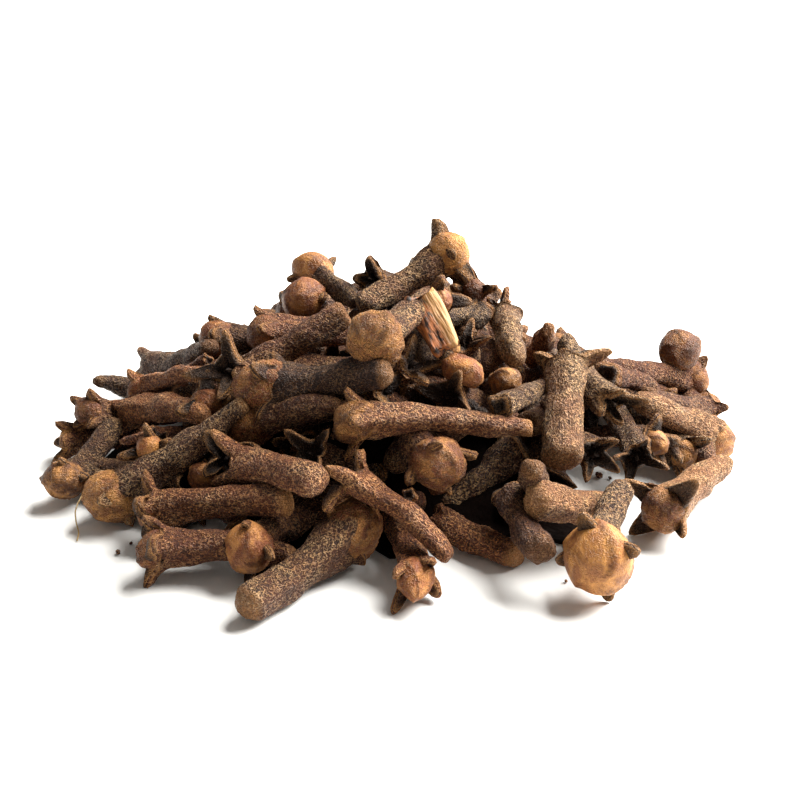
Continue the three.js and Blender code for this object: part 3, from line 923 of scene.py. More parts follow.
def best_tail(clove, others, radius):
    """The cost, tail and stem spheres of the best way that a clove's hidden tail can go."""
    best = None
    wanted = np.array(clove.row.tail, float) - np.array(clove.row.head, float)
    wanted /= max(np.linalg.norm(wanted), 1)
    for turn in np.arange(TAIL_TURNS) * 2 * math.pi / TAIL_TURNS:
        for lean in TAIL_LEANS:
            way = (math.cos(lean) * (math.cos(turn) * CAMERA_RIGHT - math.sin(turn) * CAMERA_UP)
                   + math.sin(lean) * CAMERA_FORWARD)
            tail = clove.head + way * clove.length
            stem = chain_points(clove.head, tail)[:-1]
            cost = tail_cost(others, stem, radius)
            if cost is None:
                continue
            off = 1 - (math.cos(turn) * wanted[0] + math.sin(turn) * wanted[1])
            cost = cost + TURN_COST * off * math.cos(lean)
            if best is None or cost < best[0]:
                best = (cost, tail, stem)
    return best


def hide_tails(bodies):
    """Turns the cloves with hidden tails clear of the others. Returns those with a place."""
    placed = Placed()
    for clove in bodies:
        first = SPHERES - 1 if clove.row.loose else 0
        placed.add(chain_points(clove.head, clove.tail)[first:], sphere_radii(clove)[first:])
    kept = []
    for clove in bodies:
        if clove.row.loose:
            others = Placed()
            keep = np.linalg.norm(placed.points - clove.head, axis=1) > 1e-6
            others.add(placed.points[keep], placed.radius[keep])
            radius = sphere_radii(clove)[:-1]
            best = best_tail(clove, others, radius)
            if best is None:
                continue
            _, clove.tail, stem = best
            placed.add(stem, radius)
        kept.append(clove)
    return kept


# ---- filling cloves -----------------------------------------------------------------------

FILL_KINDS = {"budded": 0.5, "open": 0.38, "stem": 0.12}  # shares
FILL_TIP = 2.0  # mm that an end may lie over or under the slope
FILL_HEAD_REACH = 2.7  # mm, of a filling clove's sepals from the middle of its head
FILL_EDGE = 0.3  # mm that its stem keeps inside the outline
NEIGHBOURS = 42  # pixels round a filling clove in which the seen ones are compared with it


def fill_cloves(seen_bodies):
    """Cloves under the seen ones, and on the sides that the camera doesn't see."""
    placed, seen_spheres = Placed(), Placed()
    for clove in seen_bodies:
        for store in (placed, seen_spheres):
            store.add(chain_points(clove.head, clove.tail), sphere_radii(clove))
    rng = np.random.RandomState(SEED)
    bodies = []
    for layer, (depth, cover, tries, deepest) in enumerate(FILL_LAYERS):
        for i in range(tries):
            reach = cover * math.sqrt((i + 0.5) / tries)
            x = reach * HALF_X * math.cos(i * GOLDEN_ANGLE + layer)
            y = reach * HALF_Y * math.sin(i * GOLDEN_ANGLE + layer)
            kind = rng.choice(list(FILL_KINDS), p=list(FILL_KINDS.values()))
            clove = make_clove(rng, kind, rng.uniform(*CLOVE_LENGTH))
            radius = sphere_radii(clove)
            best = None
            for turn in rng.uniform(0, 2 * math.pi, FILL_HEADINGS):
                tip = rng.uniform(-FILL_TIP, FILL_TIP)
                for sink in FILL_SINKS:
                    ends = fill_ends(clove, x, y, turn, tip, depth + sink)
                    chain = chain_points(*ends)
                    if not may_fill(seen_spheres, chain, radius):
                        continue
                    overlap = float(placed.overlaps(chain, radius).max())
                    if best is None or overlap < best[0]:
                        best = (overlap, ends, chain)
            if best is None or best[0] > deepest:
                continue
            _, (clove.head, clove.tail), chain = best
            placed.add(chain, radius)
            bodies.append(clove)
    return bodies


def fill_ends(clove, x, y, turn, tip, depth):
    """Both ends of a clove lying along the heap's slope some way under its upper side."""
    ends = []
    girths = (clove.girth, clove.stem * clove.taper)
    for side, girth in zip((1, -1), girths):
        ex = x + side * clove.length / 2 * math.cos(turn)
        ey = y + side * clove.length / 2 * math.sin(turn)
        top = float(dome(ex, ey)) - depth - girth + side * tip
        ends.append(np.array([ex, ey, max(top, girth + FLOOR_GAP)]))
    middle = (ends[0] + ends[1]) / 2
    half = unit(ends[0] - ends[1]) * clove.length / 2
    ends = middle + half, middle - half
    for end, girth in zip(ends, girths):
        end[2] = max(end[2], girth + FLOOR_GAP)
    return ends


def may_fill(seen_spheres, chain, radius):
    """Whether a filling clove stays in the box and shows only where it may."""
    if not in_the_box(chain, radius):
        return False
    covered, covers, column, row, size = seen_spheres.seen_from_camera(chain, radius)
    if in_floor_gap(column, row, size) or covers.any():
        return False
    far = as_seen(chain)[2]
    widest = np.append(radius[:-1] + FILL_EDGE, max(radius[-1], FILL_HEAD_REACH))
    if outside_outline(column, row, widest * FOCAL_PIXELS / far).any():
        return False
    for i in np.nonzero(~covered)[0]:
        around = np.hypot(seen_spheres.column - column[i], seen_spheres.row - row[i]) < NEIGHBOURS
        if not around.any() or far[i] < np.median(seen_spheres.far[around]) + SEEN_FILL_DEPTH:
            return False
    return True


# ---- placing and joining the meshes -----------------------------------------------------

ANY_SIDE = [0.31, 0.77, 0.55]  # from which a clove without a sepal pixel is rolled


def turned(clove, grid):
    """Puts a grid of the upright clove at its place in the heap."""
    axis = unit(clove.head - clove.tail)
    side, roll = np.cross(axis, ANY_SIDE), clove.roll
    if clove.row and clove.row.sepal:
        far = float(np.dot(clove.head - CAMERA_PLACE, CAMERA_FORWARD))
        side = CAMERA_PLACE + sight_line(clove.row.sepal) * far - clove.head
        side = side - axis * np.dot(side, axis)
        roll = 0.0
    x = unit(side)
    y = np.cross(axis, x)
    x, y = math.cos(roll) * x + math.sin(roll) * y, math.cos(roll) * y - math.sin(roll) * x
    return clove.tail + grid[..., 0:1] * x + grid[..., 1:2] * y + grid[..., 2:3] * axis


class Builder:
    """Collects grids of points as one mesh, with what its material reads at each point."""

    def __init__(self):
        self.points, self.place, self.look, self.bud = [], [], [], []
        self.faces, self.sizes, self.corners = [], [], []
        self.count = self.cells = 0

    def add(self, grid, place, look, bud):
        """A closed grid: its first and last rows are single points, its columns run round."""
        rows, columns = grid.shape[:2]
        for store, values in ((self.points, grid), (self.place, place), (self.look, look)):
            inner = values[1:-1].reshape(-1, values.shape[2])
            store.append(np.vstack([values[0, 0], inner, values[-1, 0]]))
        total = (rows - 2) * columns + 2
        self.bud.append(np.full(total, float(bud)))
        self.add_faces(rows - 3, columns, self.count, self.count + total - 1)
        self.add_corners(rows, columns)
        self.count += total
        self.cells += 1

    def add_faces(self, bands, columns, first, last):
        """Bands of four-sided faces between two fans of triangles."""
        here = np.arange(columns)
        after = (here + 1) % columns
        start = first + 1
        top = start + bands * columns
        low = start + (np.arange(bands) * columns)[:, None]
        sides = np.stack([low + here, low + after, low + columns + after, low + columns + here], 2)
        bottom = np.stack([np.full(columns, first), start + after, start + here], 1)
        cap = np.stack([np.full(columns, last), top + here, top + after], 1)
        self.faces += [bottom.reshape(-1), sides.reshape(-1), cap.reshape(-1)]
        self.sizes += [np.full(columns, 3), np.full(bands * columns, 4), np.full(columns, 3)]

    def add_corners(self, rows, columns):
        """The flattened place of each face corner, within the grid's own cell."""
        left, right = np.arange(columns) / columns, (np.arange(columns) + 1) / columns
        middle, ones = (left + right) / 2, np.ones(columns)
        v = np.linspace(0, 1, rows)
        v_low, v_high = np.repeat(v[1:-2], columns), np.repeat(v[2:-1], columns)
        u_low, u_high = np.tile(left, rows - 3), np.tile(right, rows - 3)
        for u, v in (((middle, right, left), (0 * ones, v[1] * ones, v[1] * ones)),
                     ((u_low, u_high, u_high, u_low), (v_low, v_low, v_high, v_high)),
                     ((middle, left, right), (ones, v[-2] * ones, v[-2] * ones))):
            u, v = np.stack(u, 1).reshape(-1), np.stack(v, 1).reshape(-1)
            self.corners.append(np.stack([u, v, np.full(u.size, self.cells)], axis=1))

    def flattened(self):
        """Each grid's cell laid side by side on one square picture."""
        corners = np.vstack(self.corners)
        across = math.ceil(math.sqrt(self.cells * CELL_SHAPE))
        down = math.ceil(self.cells / across)
        column = corners[:, 2] % across
        row = corners[:, 2] // across
        inner = CELL_MARGIN + (1 - 2 * CELL_MARGIN) * corners[:, :2]
        return np.stack([(column + inner[:, 0]) / across, (row + inner[:, 1]) / down], axis=1)


def within_box(grids):
    """Moves grids of points together until they are over the floor and inside the heap's box."""
    points = np.vstack([grid.reshape(-1, 3) for grid in grids])
    low = np.array([-HALF_X, -HALF_Y, 0.0]) + EDGE_CLEARANCE
    high = np.array([HALF_X, HALF_Y, TOP_Z]) - EDGE_CLEARANCE
    shift = np.maximum(low - points.min(0), 0) - np.maximum(points.max(0) - high, 0)
    shift = np.clip(shift, -LARGEST_SHIFT, LARGEST_SHIFT)
    return [np.clip(grid + shift, low, high) for grid in grids]


def add_clove(builder, clove):
    """Adds the skin of a clove, and its bud if it has one, to a mesh."""
    detail = FILL_DETAIL
    if clove.row:
        detail = SMALL_DETAIL if clove.row.short else FRONT_DETAIL
    skin, pale, inside = skin_grid(clove, detail)
    look = look_of(skin, clove.tone, clove.warm, pale - inside * INSIDE_MARK)
    grids = [turned(clove, bowed(clove, skin))]
    if clove.kind == "budded":
        ball, seam, petal_tone = bud_grid(clove, detail)
        grids.append(turned(clove, bowed(clove, ball)))
    grids = within_box(grids)
    builder.add(grids[0], skin + clove.offset, look, 0)
    if clove.kind == "budded":
        look = look_of(ball, clove.bud_tone + petal_tone, clove.bud_warm, seam)
        builder.add(grids[1], ball + clove.offset, look, 1 + min(clove.wrinkle, 1.0))


def look_of(grid, *values):
    """Three numbers for each point of a grid, each given for all points or for each."""
    return np.stack([np.broadcast_to(value, grid.shape[:2]) for value in values], axis=2)


def piece_from(builder, name, material):
    """One mesh object out of what a builder has collected."""
    points = np.vstack(builder.points) * MM
    corner_index = np.concatenate(builder.faces).astype(np.int32)
    sizes = np.concatenate(builder.sizes).astype(np.int32)
    starts = np.concatenate([[0], np.cumsum(sizes)[:-1]]).astype(np.int32)
    mesh = bpy.data.meshes.new(name)
    mesh.vertices.add(len(points))
    mesh.vertices.foreach_set("co", points.astype(np.float32).ravel())
    mesh.loops.add(len(corner_index))
    mesh.loops.foreach_set("vertex_index", corner_index)
    mesh.polygons.add(len(sizes))
    mesh.polygons.foreach_set("loop_start", starts)
    mesh.polygons.foreach_set("use_smooth", np.ones(len(sizes), bool))
    mesh.update(calc_edges=True)
    for label, values in (("place", builder.place), ("look", builder.look)):
        data = mesh.attributes.new(label, "FLOAT_VECTOR", "POINT").data
        data.foreach_set("vector", np.vstack(values).astype(np.float32).ravel())
    data = mesh.attributes.new("bud", "FLOAT", "POINT").data
    data.foreach_set("value", np.concatenate(builder.bud).astype(np.float32))
    layer = mesh.uv_layers.new(name="OFBake")
    layer.data.foreach_set("uv", builder.flattened().astype(np.float32).ravel())
    mesh.materials.append(material)
    mesh.update()
    piece = bpy.data.objects.new(name, mesh)
    bpy.context.scene.collection.objects.link(piece)
    return piece


# ---- materials --------------------------------------------------------------------------

class Nodes:
    """Short calls for building a material's node tree."""

    def __init__(self, name):
        self.material = bpy.data.materials.new(name)
        self.material.use_nodes = True
        self.tree = self.material.node_tree
        self.shader = self.tree.nodes["Principled BSDF"]

    def node(self, kind, inputs=None, **settings):
        """A node with its settings, and its inputs given by name or in order."""
        made = self.tree.nodes.new(kind)
        for key, value in settings.items():
            setattr(made, key, value)
        self.put(made, inputs or {})
        return made.outputs

    def put(self, node, inputs):
        """Links or sets a node's inputs."""
        for key, value in inputs.items() if isinstance(inputs, dict) else enumerate(inputs):
            if isinstance(value, bpy.types.NodeSocket):
                self.tree.links.new(value, node.inputs[key])
            else:
                node.inputs[key].default_value = value

    def attribute(self, name, output="Vector"):
        return self.node("ShaderNodeAttribute", attribute_name=name)[output]

    def noise(self, vector, scale, detail=2.0, roughness=0.5, distortion=0.0):
        return self.node("ShaderNodeTexNoise", {
            "Vector": vector, "Scale": scale, "Detail": detail, "Roughness": roughness,
            "Distortion": distortion})["Fac"]

    def math(self, operation, a, b=0.0, clamp=False):
        return self.node("ShaderNodeMath", (a, b), operation=operation, use_clamp=clamp)[0]

    def times(self, a, b, clamp=False):
        return self.math("MULTIPLY", a, b, clamp)

    def scaled(self, vector, scale):
        return self.node("ShaderNodeVectorMath", (vector, scale), operation="MULTIPLY")[0]

    def remap(self, value, from_low, from_high, to_low=0.0, to_high=1.0):
        return self.node("ShaderNodeMapRange", (value, from_low, from_high, to_low, to_high))[0]

    def mix(self, share, a, b):
        return self.node("ShaderNodeMix", data_type="RGBA",
                         inputs={"Factor": share, "A": a, "B": b})["Result"]

    def split(self, vector):
        return self.node("ShaderNodeSeparateXYZ", (vector,))

    def finish(self, colour, roughness, relief=None, depth=0.0, specular=0.5):
        """Gives the shader its colour and roughness, and relief of a depth in metres."""
        self.put(self.shader, {"Base Color": colour, "Roughness": roughness,
                               "Specular IOR Level": specular})
        if relief is not None:
            normal = self.node("ShaderNodeBump", {"Height": relief, "Distance": depth,
                                                  "Strength": 1.0})["Normal"]
            self.put(self.shader, {"Normal": normal})
        return self.material


def rgb(red, green, blue):
    """A colour given as it looks on a screen, 0 to 255, as Blender's linear colour."""
    return tuple((c / 255) ** 2.2 for c in (red, green, blue)) + (1.0,)


# GROOVE is the dark of the pits between grains, partly their own colour and partly painted shade;
# RIDGE and RED_RIDGE are pale crests, partly worn and partly painted highlight
GROOVE = rgb(24, 13, 7)
DARK_SKIN, RED_SKIN = rgb(56, 35, 21), rgb(84, 43, 25)
RIDGE, RED_RIDGE = rgb(200, 157, 112), rgb(206, 138, 88)
# Near black on the inner side of the sepals and on the disc: painted shade in the clove's hollow
INSIDE_SHADE = rgb(20, 11, 7)
PALE_EDGE = rgb(176, 124, 74)
GOLD_PETAL, RED_PETAL, DARK_PETAL = rgb(204, 142, 78), rgb(126, 71, 42), rgb(60, 31, 15)
# Pale wrinkle crests of the petals: partly their own colour, partly painted highlight
PALE_WRINKLE = rgb(224, 166, 104)

SKIN_SPECULAR = 0.3
SKIN_RELIEF = 0.00034  # metres
INSIDE_MARK = 2.0  # taken off a point's paleness on the inner side of the skin, which gets painted shade

# Veins run along the places where a noise crosses its middle
VEIN_STRETCH = (1.0, 1.0, 0.75)
VEIN_SCALE, VEIN_WIDTH = 4.2, 0.095
PATCH_SCALE, BLOTCH_SCALE, FINE_SCALE = 0.5, 0.8, 8.0  # features per mm


def skin_colour(n, place, tone, warm, pale, inside, grain, veins, fine):
    """Dark skin of the stem and sepals: pale crests, partly worn and partly painted highlight; dark
    grooves, partly painted shade; painted shade on the inner side; pale edges.
    """
    patches = n.noise(place, PATCH_SCALE, 3.0, 0.6)
    redness = n.math("ADD", warm, n.remap(patches, 0.35, 0.65, -0.35, 0.35), True)
    base = n.mix(redness, DARK_SKIN, RED_SKIN)
    crest = n.mix(redness, RIDGE, RED_RIDGE)
    base = n.mix(n.remap(tone, 0.8, 2.0, 0.0, 0.4), base, crest)
    # Low tones darken a whole skin towards the groove colour: random darker cloves, and painted shade
    # on cloves given a low tone because they lie in shadow
    base = n.mix(n.remap(tone, -0.8, 0.5, 0.95, 0.0), base, GROOVE)
    # Pale crests along the veins: partly worn skin, partly painted highlight where the raised grains
    # catch the light
    crest_wear_and_highlight = n.times(n.remap(tone, 0.0, 1.5, 0.35, 1.55), n.remap(patches, 0.3, 0.7, 1.2, 0.5))
    skin = n.mix(n.times(veins, crest_wear_and_highlight, True), base, crest)
    # Pits between the grains darkened: partly their own colour, partly painted shade
    skin = n.mix(n.remap(grain, 0.55, 0.70, 0.0, 0.55), skin, GROOVE)
    dark = n.times(n.remap(patches, 0.48, 0.68, 0.0, 0.6), n.remap(tone, 0.0, 1.0, 1.0, 0.3))
    skin = n.mix(dark, skin, GROOVE)
    # Painted shade on the inner side of the sepals and the disc
    skin = n.mix(n.times(inside, 0.8), skin, INSIDE_SHADE)
    edge = n.times(n.times(pale, 0.8), n.remap(fine, 0.3, 0.6, 0.3, 1.0), True)
    return n.mix(edge, skin, PALE_EDGE)


def petal_colour(n, place, tone, warm, pale, crumpled, veins, fine):
    """Tan or reddish petals, dark in their seams and dirty spots, paler on their wrinkle crests,
    partly as painted highlight.
    """
    blotch = n.noise(place, BLOTCH_SCALE, 4.0, 0.6, 0.4)
    redder = n.math("ADD", warm, n.remap(blotch, 0.4, 0.6, -0.35, 0.35), True)
    petal = n.mix(redder, GOLD_PETAL, RED_PETAL)
    dirt = n.times(n.remap(blotch, 0.36, 0.66, 0.42, 0.92), n.remap(tone, 0.0, 0.95, 1.1, 0.05))
    petal = n.mix(n.times(dirt, 1.0, True), petal, DARK_PETAL)
    petal = n.mix(n.times(pale, n.remap(tone, 0.3, 1.0, 0.85, 0.5)), petal, DARK_PETAL)
    petal = n.mix(n.remap(fine, 0.52, 0.72, 0.0, 0.4), petal, DARK_PETAL)
    # Paler wrinkle crests: partly their own colour, partly painted highlight
    wrinkled = n.times(veins, n.remap(crumpled, 0.0, 1.0, 0.04, 0.36))
    return n.mix(n.times(wrinkled, n.remap(tone, 0.0, 1.0, 0.6, 1.0)), petal, PALE_WRINKLE)


def clove_material(name):
    """Dark grained skin on the stem and sepals, smoother tan or reddish petals on the bud."""
    n = Nodes(name)
    place = n.attribute("place")
    tone, warm, mark = n.split(n.attribute("look"))
    part = n.attribute("bud", "Fac")
    bud = n.math("MINIMUM", part, 1.0)
    crumpled = n.math("SUBTRACT", part, bud)
    # The inner side of the skin, which gets painted shade
    inside = n.math("LESS_THAN", mark, -INSIDE_MARK / 4)
    pale = n.math("ADD", mark, n.times(inside, INSIDE_MARK))

    grain = n.noise(n.scaled(place, VEIN_STRETCH), VEIN_SCALE, 1.0, 0.5, 0.4)
    ridge = n.math("ABSOLUTE", n.math("SUBTRACT", grain, 0.5))
    broken = n.remap(n.noise(place, 2.1, 2.0), 0.3, 0.6, 0.45, 1.1)
    veins = n.times(n.remap(ridge, 0.0, VEIN_WIDTH, 1.0, 0.0), broken)
    fine = n.noise(place, FINE_SCALE, 2.0, 0.6)
    skin = skin_colour(n, place, tone, warm, pale, inside, grain, veins, fine)
    petal = petal_colour(n, place, tone, warm, pale, crumpled, veins, fine)

    relief = n.math("ADD", n.times(veins, 0.8), n.times(fine, 0.8))
    share = n.math("ADD", n.remap(bud, 0.0, 1.0, 1.0, 0.15), n.times(crumpled, 0.8))
    roughness = n.math("MINIMUM", n.remap(veins, 0.0, 1.0, 0.8, 0.36),
                       n.remap(bud, 0.0, 1.0, 1.0, 0.55))
    return n.finish(n.mix(bud, skin, petal), roughness, n.times(relief, share), SKIN_RELIEF,
                    SKIN_SPECULAR)


CUT_WOOD = rgb(186, 140, 88), rgb(164, 118, 70)
ROUGH_WOOD, WOOD_HOLE, WOOD_DIRT = rgb(164, 96, 50), rgb(30, 16, 10), rgb(70, 42, 28)
FIBRE_STRETCH, HOLE_STRETCH = (1.0, 1.0, 0.12), (1.0, 1.0, 0.35)
WOOD_RELIEF = 0.00025


def wood_material():
    """Split wood of the chip: pale tan on its cut side, dark orange fibres on the other."""
    n = Nodes("split_clove_wood")
    place = n.attribute("place")
    cut_side = n.split(n.attribute("look"))[0]
    fibres = n.noise(n.scaled(place, FIBRE_STRETCH), 3.2, 3.0, 0.6)
    holes = n.noise(n.scaled(place, HOLE_STRETCH), 2.6, 3.0, 0.6)
    dirt = n.noise(place, 1.3, 3.0, 0.6)
    cut = n.mix(n.remap(fibres, 0.35, 0.65), *CUT_WOOD)
    rough = n.mix(n.remap(holes, 0.44, 0.6), ROUGH_WOOD, WOOD_HOLE)
    colour = n.mix(cut_side, rough, cut)
    colour = n.mix(n.remap(dirt, 0.55, 0.7, 0.0, 0.6), colour, WOOD_DIRT)
    return n.finish(colour, 0.62, fibres, WOOD_RELIEF)


FIBRE_COLOURS = rgb(214, 186, 132), rgb(168, 132, 84)
# Near-black painted shade of the heap's core, where the deep gaps between the cloves lie in shadow
CORE_SHADE_COLOURS = rgb(8, 5, 4), rgb(24, 15, 11)
CORE_RELIEF = 0.0006
STAGE_COLOURS = (0.92, 0.92, 0.92, 1), (0.94, 0.94, 0.94, 1)


def hair_material():
    """Straw-coloured plant fibre."""
    n = Nodes("plant_fibre")
    return n.finish(n.mix(n.noise(n.attribute("place"), 1.2), *FIBRE_COLOURS), 0.5)


def shade_core_material():
    """Near-black painted shade for the inside of the heap."""
    n = Nodes("painted_shade_inside")
    lumps = n.noise(n.attribute("place"), 0.7, 3.0)
    return n.finish(n.mix(lumps, *CORE_SHADE_COLOURS), 0.9, lumps, CORE_RELIEF, 0.05)


def stage_material():
    """The white surface under the heap."""
    n = Nodes("stage_white")
    place = n.node("ShaderNodeTexCoord")["Object"]
    return n.finish(n.mix(n.noise(place, 4.0), *STAGE_COLOURS), 0.6)


# ---- the pieces -------------------------------------------------------------------------

CORE_COLUMNS, CORE_ROWS, CORE_UNDER_ROWS = 72, 26, 4
CORE_LEAST = 0.3  # share of the heap's half width that it covers all round
CORE_STEPS = 28  # tried from there out to its farthest reach
CORE_REACH, CORE_BACK_REACH = 0.84, 0.6  # farthest, at the front and at the back
CORE_MARGIN = 0.12  # by which its edge stays back
CORE_CLEAR = 14.0  # pixels between the core's foot and the bare floor
CORE_DOME, CORE_STEEPNESS = 0.52, 2.2  # share of the heap's half width under its dome
CORE_DEPTH = 8.0  # mm under the cloves' upper side
CORE_SKIRT = 0.15  # mm, round the dome: a dark sheet on the floor, painted shadow under the cloves
CORE_FLOOR = 0.1
CORE_ROOF = 1.9  # mm, how near a clove lies to each spot that the core covers


def core_edge(angle, cloves):
    """How far the near-black core, painted shade, reaches that way under the cloves, off the bare
    floor.
    """
    farthest = between(CORE_REACH, CORE_BACK_REACH, float(smooth(math.sin(angle), -0.1, 0.4)))
    for reach in np.linspace(CORE_LEAST, farthest, CORE_STEPS):
        spot = np.array([[reach * HALF_X * math.cos(angle), reach * HALF_Y * math.sin(angle), 0.0]])
        column, row, _ = as_seen(spot)
        roofed = (np.linalg.norm(cloves[:, :2] - spot[:, :2], axis=1) < CORE_ROOF).sum()
        bare = (in_floor_gap(column, row, CORE_CLEAR)
                or outside_outline(column, row, CORE_CLEAR).any())
        if roofed < 2 or bare:
            return max(reach - CORE_MARGIN, CORE_LEAST)
    return farthest


def core_piece(material, bodies):
    """The heap's core: a lumpy dome, near black as painted shade, that shows only through deep gaps.
    """
    angles = ring(CORE_COLUMNS)
    reach = np.concatenate([[0.0], np.linspace(0.02, 1.0, CORE_UNDER_ROWS),
                            np.linspace(1.0, 0.02, CORE_ROWS), [0.0]])[:, None]
    upper = np.concatenate([np.zeros(CORE_UNDER_ROWS + 1), np.ones(CORE_ROWS + 1)])[:, None]
    share = np.linspace(0, 1, 2 * SPHERES)
    cloves = np.vstack([chain_points(clove.head, clove.tail, share) for clove in bodies])
    edge = np.array([core_edge(angle, cloves) for angle in angles])
    edge = np.minimum(edge, (edge + np.roll(edge, 1) + np.roll(edge, -1)) / 3)
    dome_share = np.maximum(0, 1 - (reach * edge / CORE_DOME) ** CORE_STEEPNESS)
    height = CORE_SKIRT + (DOME_HEIGHT - CORE_DEPTH) * dome_share
    grid = np.stack([reach * np.cos(angles) * HALF_X * edge, reach * np.sin(angles) * HALF_Y * edge,
                     height * upper + CORE_FLOOR], axis=2)
    lumps = noise(grid * 0.35) * 1.4 + noise(grid * 0.9) * 0.5
    lumps = lumps * smooth(height, CORE_SKIRT, CORE_SKIRT + 2.0)
    grid[..., 2] = np.maximum(grid[..., 2] + lumps * upper, CORE_FLOOR)
    return one_grid_piece("heap_shade_core", material, grid, grid, np.zeros(grid.shape))


def one_grid_piece(name, material, grid, place, look):
    """A piece that is a single closed grid."""
    builder = Builder()
    builder.add(grid, place, look, 0)
    return piece_from(builder, name, material)


def closed_at(first, rows, last):
    """Rows of points with an end point before them and another after them."""
    columns = rows.shape[1]
    return np.concatenate([np.repeat(first[None, None], columns, 1), rows,
                           np.repeat(last[None, None], columns, 1)])


def along_grid(points, radii, columns, squash=1.0):
    """A closed tube along a line of points, with a radius at each."""
    axis = unit(points[-1] - points[0])
    side = unit(np.cross(axis, [0.3, 0.2, 0.9]))
    up = np.cross(axis, side)
    angles = ring(columns)
    circle = np.cos(angles)[:, None] * side + np.sin(angles)[:, None] * up * squash
    return closed_at(points[0], points[:, None] + radii[:, None, None] * circle[None], points[-1])


CHIP_FOOT, CHIP_TIP = (449, 350), (420, 299)  # pixels
CHIP_FOOT_RAISED, CHIP_TIP_RAISED = 1.2, 2.3  # mm over the cloves
CHIP_WIDTH, CHIP_THICKNESS = 2.7, 1.5
CHIP_ROWS, CHIP_COLUMNS = 34, 32
CHIP_SQUARE = 0.45  # 1 is round, less is squarer
CHIP_TIP_JAGS, CHIP_FOOT_JAGS, CHIP_TIP_HOLLOW = 1.1, 0.8, 0.4
CHIP_SPLINTERS, CUT_SIDE_SMOOTHER = 0.7, 0.64


def chip_piece(material):
    """A splinter of clove wood that leans on the top of the heap."""
    foot = on_heap(CHIP_FOOT, 1.0, CHIP_FOOT_RAISED)
    tip = on_heap(CHIP_TIP, 1.0, CHIP_TIP_RAISED)
    axis = unit(tip - foot)
    length = float(np.linalg.norm(tip - foot))
    across = unit(np.cross(axis, -CAMERA_FORWARD))
    outward = np.cross(across, axis)
    share = np.linspace(0, 1, CHIP_ROWS)
    ring_x, ring_y = (np.sign(wave) * np.abs(wave) ** CHIP_SQUARE
                      for wave in (np.cos(ring(CHIP_COLUMNS)), np.sin(ring(CHIP_COLUMNS))))
    width = CHIP_WIDTH / 2 * (0.72 + 0.5 * share - 0.25 * share ** 6)
    grid = (foot + share[:, None, None] * length * axis
            + (width[:, None] * ring_x)[..., None] * across
            + (CHIP_THICKNESS / 2 * np.ones(CHIP_ROWS)[:, None] * ring_y)[..., None] * outward)
    jagged = noise(np.stack([ring_x * 1.4, ring_y * 1.4, 0 * ring_x], axis=1) + 31.0)
    grid[-1] += (CHIP_TIP_JAGS * jagged)[:, None] * axis
    grid[0] += (CHIP_FOOT_JAGS * jagged[::-1])[:, None] * axis
    closed = closed_at(grid[0].mean(0), grid, grid[-1].mean(0) - CHIP_TIP_HOLLOW * axis)
    local = np.stack([(closed - foot) @ way for way in (across, outward, axis)], 2)
    rough = noise(local * np.array([1.6, 1.6, 0.55]) + 17.0)
    cut_side = smooth(local[..., 0], 0.2, 0.35)
    rough = rough * (CHIP_SPLINTERS - CUT_SIDE_SMOOTHER * cut_side)
    closed = closed + grid_normals(closed) * rough[..., None]
    return one_grid_piece("wood_chip", material, closed, local, look_of(closed, cut_side, 0.0, 0.0))


# Crumbs lying on the floor: pixel and size in mm
CRUMBS = [((599, 475), 0.34), ((118, 552), 0.24), ((610, 478), 0.18), ((227, 547), 0.26),
          ((206, 534), 0.16), ((566, 581), 0.14), ((131, 543), 0.14)]
CRUMB_SEED = 300
CRUMB_ROWS, CRUMB_COLUMNS = 7, 10
CRUMB_LENGTH, CRUMB_SQUASH = 1.3, 0.8  # shares of its size
CRUMB_TONE, CRUMB_WARM = 0.5, 0.7


def crumbs_piece(material):
    """Small broken bits of skin on the floor round the heap."""
    builder = Builder()
    for number, (pixel, size) in enumerate(CRUMBS):
        rng = np.random.RandomState(SEED + CRUMB_SEED + number)
        middle = on_height(pixel, size * 0.7 + 0.05)
        share = np.linspace(0.06, 0.94, CRUMB_ROWS)
        heading = rng.uniform(*ANY_TURN)
        away = np.array([math.cos(heading), math.sin(heading), 0.0]) * size * CRUMB_LENGTH
        points = middle + (share[:, None] - 0.5) * 2 * away
        radii = size * np.sqrt(1 - (2 * share - 1) ** 2) * rng.uniform(0.6, 1.0, CRUMB_ROWS)
        grid = along_grid(points, radii, CRUMB_COLUMNS, CRUMB_SQUASH)
        place = grid + rng.uniform(-90, 90, 3)
        builder.add(grid, place, look_of(grid, CRUMB_TONE, CRUMB_WARM, 0.0), 0)
    return piece_from(builder, "crumbs", material)


HAIR_PIXELS = [(82, 496), (78, 503), (75, 512), (76, 522), (79, 533), (77, 541)]
HAIR_HEIGHTS = [2.9, 2.2, 1.4, 0.7, 0.25, 0.12]  # mm
HAIR_RADIUS = 0.06
HAIR_POINTS, HAIR_COLUMNS, HAIR_SMOOTHINGS = 40, 6, 4


def hair_piece(material):
    """A thin plant fibre that hangs from a clove at the left onto the floor."""
    knots = np.array([on_height(p, z) for p, z in zip(HAIR_PIXELS, HAIR_HEIGHTS)])
    steps = np.linspace(0, len(knots) - 1, HAIR_POINTS)
    points = np.stack([np.interp(steps, range(len(knots)), knots[:, k]) for k in range(3)], axis=1)
    for _ in range(HAIR_SMOOTHINGS):
        points[1:-1] = (points[:-2] + 2 * points[1:-1] + points[2:]) / 4
    grid = along_grid(points, np.full(len(points), HAIR_RADIUS), HAIR_COLUMNS)
    return one_grid_piece("fibre", material, grid, grid, np.zeros(grid.shape))


PIECES_SEEN, PIECES_BELOW = 12, 8


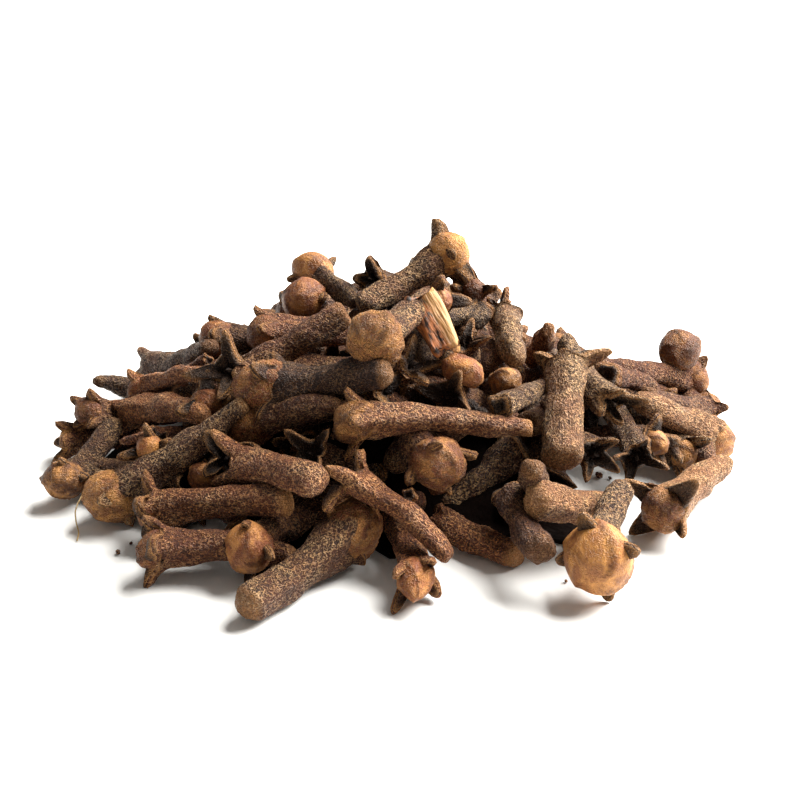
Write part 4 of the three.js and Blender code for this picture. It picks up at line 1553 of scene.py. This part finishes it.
def clove_pieces(material, bodies):
    """The cloves, dealt out over the pieces that are seen and those that lie below."""
    groups = {}
    for number, clove in enumerate(bodies):
        label, count = ("cloves_seen", PIECES_SEEN) if clove.row else ("cloves_below", PIECES_BELOW)
        groups.setdefault((label, number % count), []).append(clove)
    pieces = []
    for (label, part), cloves in sorted(groups.items()):
        builder = Builder()
        for clove in cloves:
            add_clove(builder, clove)
        pieces.append(piece_from(builder, f"{label}_{part + 1}", material))
    return pieces


def build_pieces():
    """All that stands in for the packed heap."""
    bodies = seen_cloves()
    put_in_order(bodies)
    bodies = hide_tails(bodies)
    bodies += fill_cloves(bodies)
    material = clove_material("clove_skin")
    pieces = clove_pieces(material, bodies)
    pieces.append(core_piece(shade_core_material(), bodies))
    pieces.append(chip_piece(wood_material()))
    pieces.append(crumbs_piece(material))
    pieces.append(hair_piece(hair_material()))
    for piece in pieces:
        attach(piece, "root")
        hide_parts(HEAP_NODE)


# ---- stage, light and camera ------------------------------------------------------------

STAGE_SIZE = 3.0  # metres, half its width


def add_stage():
    mesh = bpy.data.meshes.new("floor")
    corners = [(-STAGE_SIZE, -STAGE_SIZE, 0), (STAGE_SIZE, -STAGE_SIZE, 0),
               (STAGE_SIZE, STAGE_SIZE, 0), (-STAGE_SIZE, STAGE_SIZE, 0)]
    mesh.from_pydata(corners, [], [(0, 1, 2, 3)])
    mesh.materials.append(stage_material())
    floor = bpy.data.objects.new("floor", mesh)
    bpy.context.scene.collection.objects.link(floor)


KEY_DIRECTION = (0.62, 0.34, 0.70)
KEY_DISTANCE = 0.52  # metres
KEY_SIZE = 0.52
KEY_POWER = 16.8
KEY_COLOUR = (1.0, 0.985, 0.935)
WORLD_COLOUR = (1.0, 0.955, 0.88, 1)
WORLD_STRENGTH = 0.27


def add_lights():
    scene = bpy.context.scene
    world = bpy.data.worlds.new("studio")
    world.use_nodes = True
    background = world.node_tree.nodes["Background"]
    background.inputs["Color"].default_value = WORLD_COLOUR
    background.inputs["Strength"].default_value = WORLD_STRENGTH
    scene.world = world
    data = bpy.data.lights.new("key", "AREA")
    data.shape = "DISK"
    data.size = KEY_SIZE
    data.energy = KEY_POWER
    data.color = KEY_COLOUR
    light = bpy.data.objects.new("key", data)
    light.location = Vector(KEY_DIRECTION).normalized() * KEY_DISTANCE
    light.rotation_euler = (-light.location).to_track_quat("-Z", "Y").to_euler()
    scene.collection.objects.link(light)
    scene.view_settings.view_transform = "Standard"
    scene.view_settings.look = "None"


def add_camera():
    data = bpy.data.cameras.new("camera")
    data.sensor_width = SENSOR
    data.lens = FOCAL_PIXELS * SENSOR / IMAGE_PIXELS
    data.clip_start = 0.01
    data.clip_end = 20
    camera = bpy.data.objects.new("camera", data)
    camera.location = CAMERA_PLACE * MM
    camera.rotation_euler = Vector(CAMERA_FORWARD).to_track_quat("-Z", "Y").to_euler()
    bpy.context.scene.collection.objects.link(camera)
    bpy.context.scene.camera = camera


add_camera()
build_pieces()
add_stage()
add_lights()

bpy.context.view_layer.update()
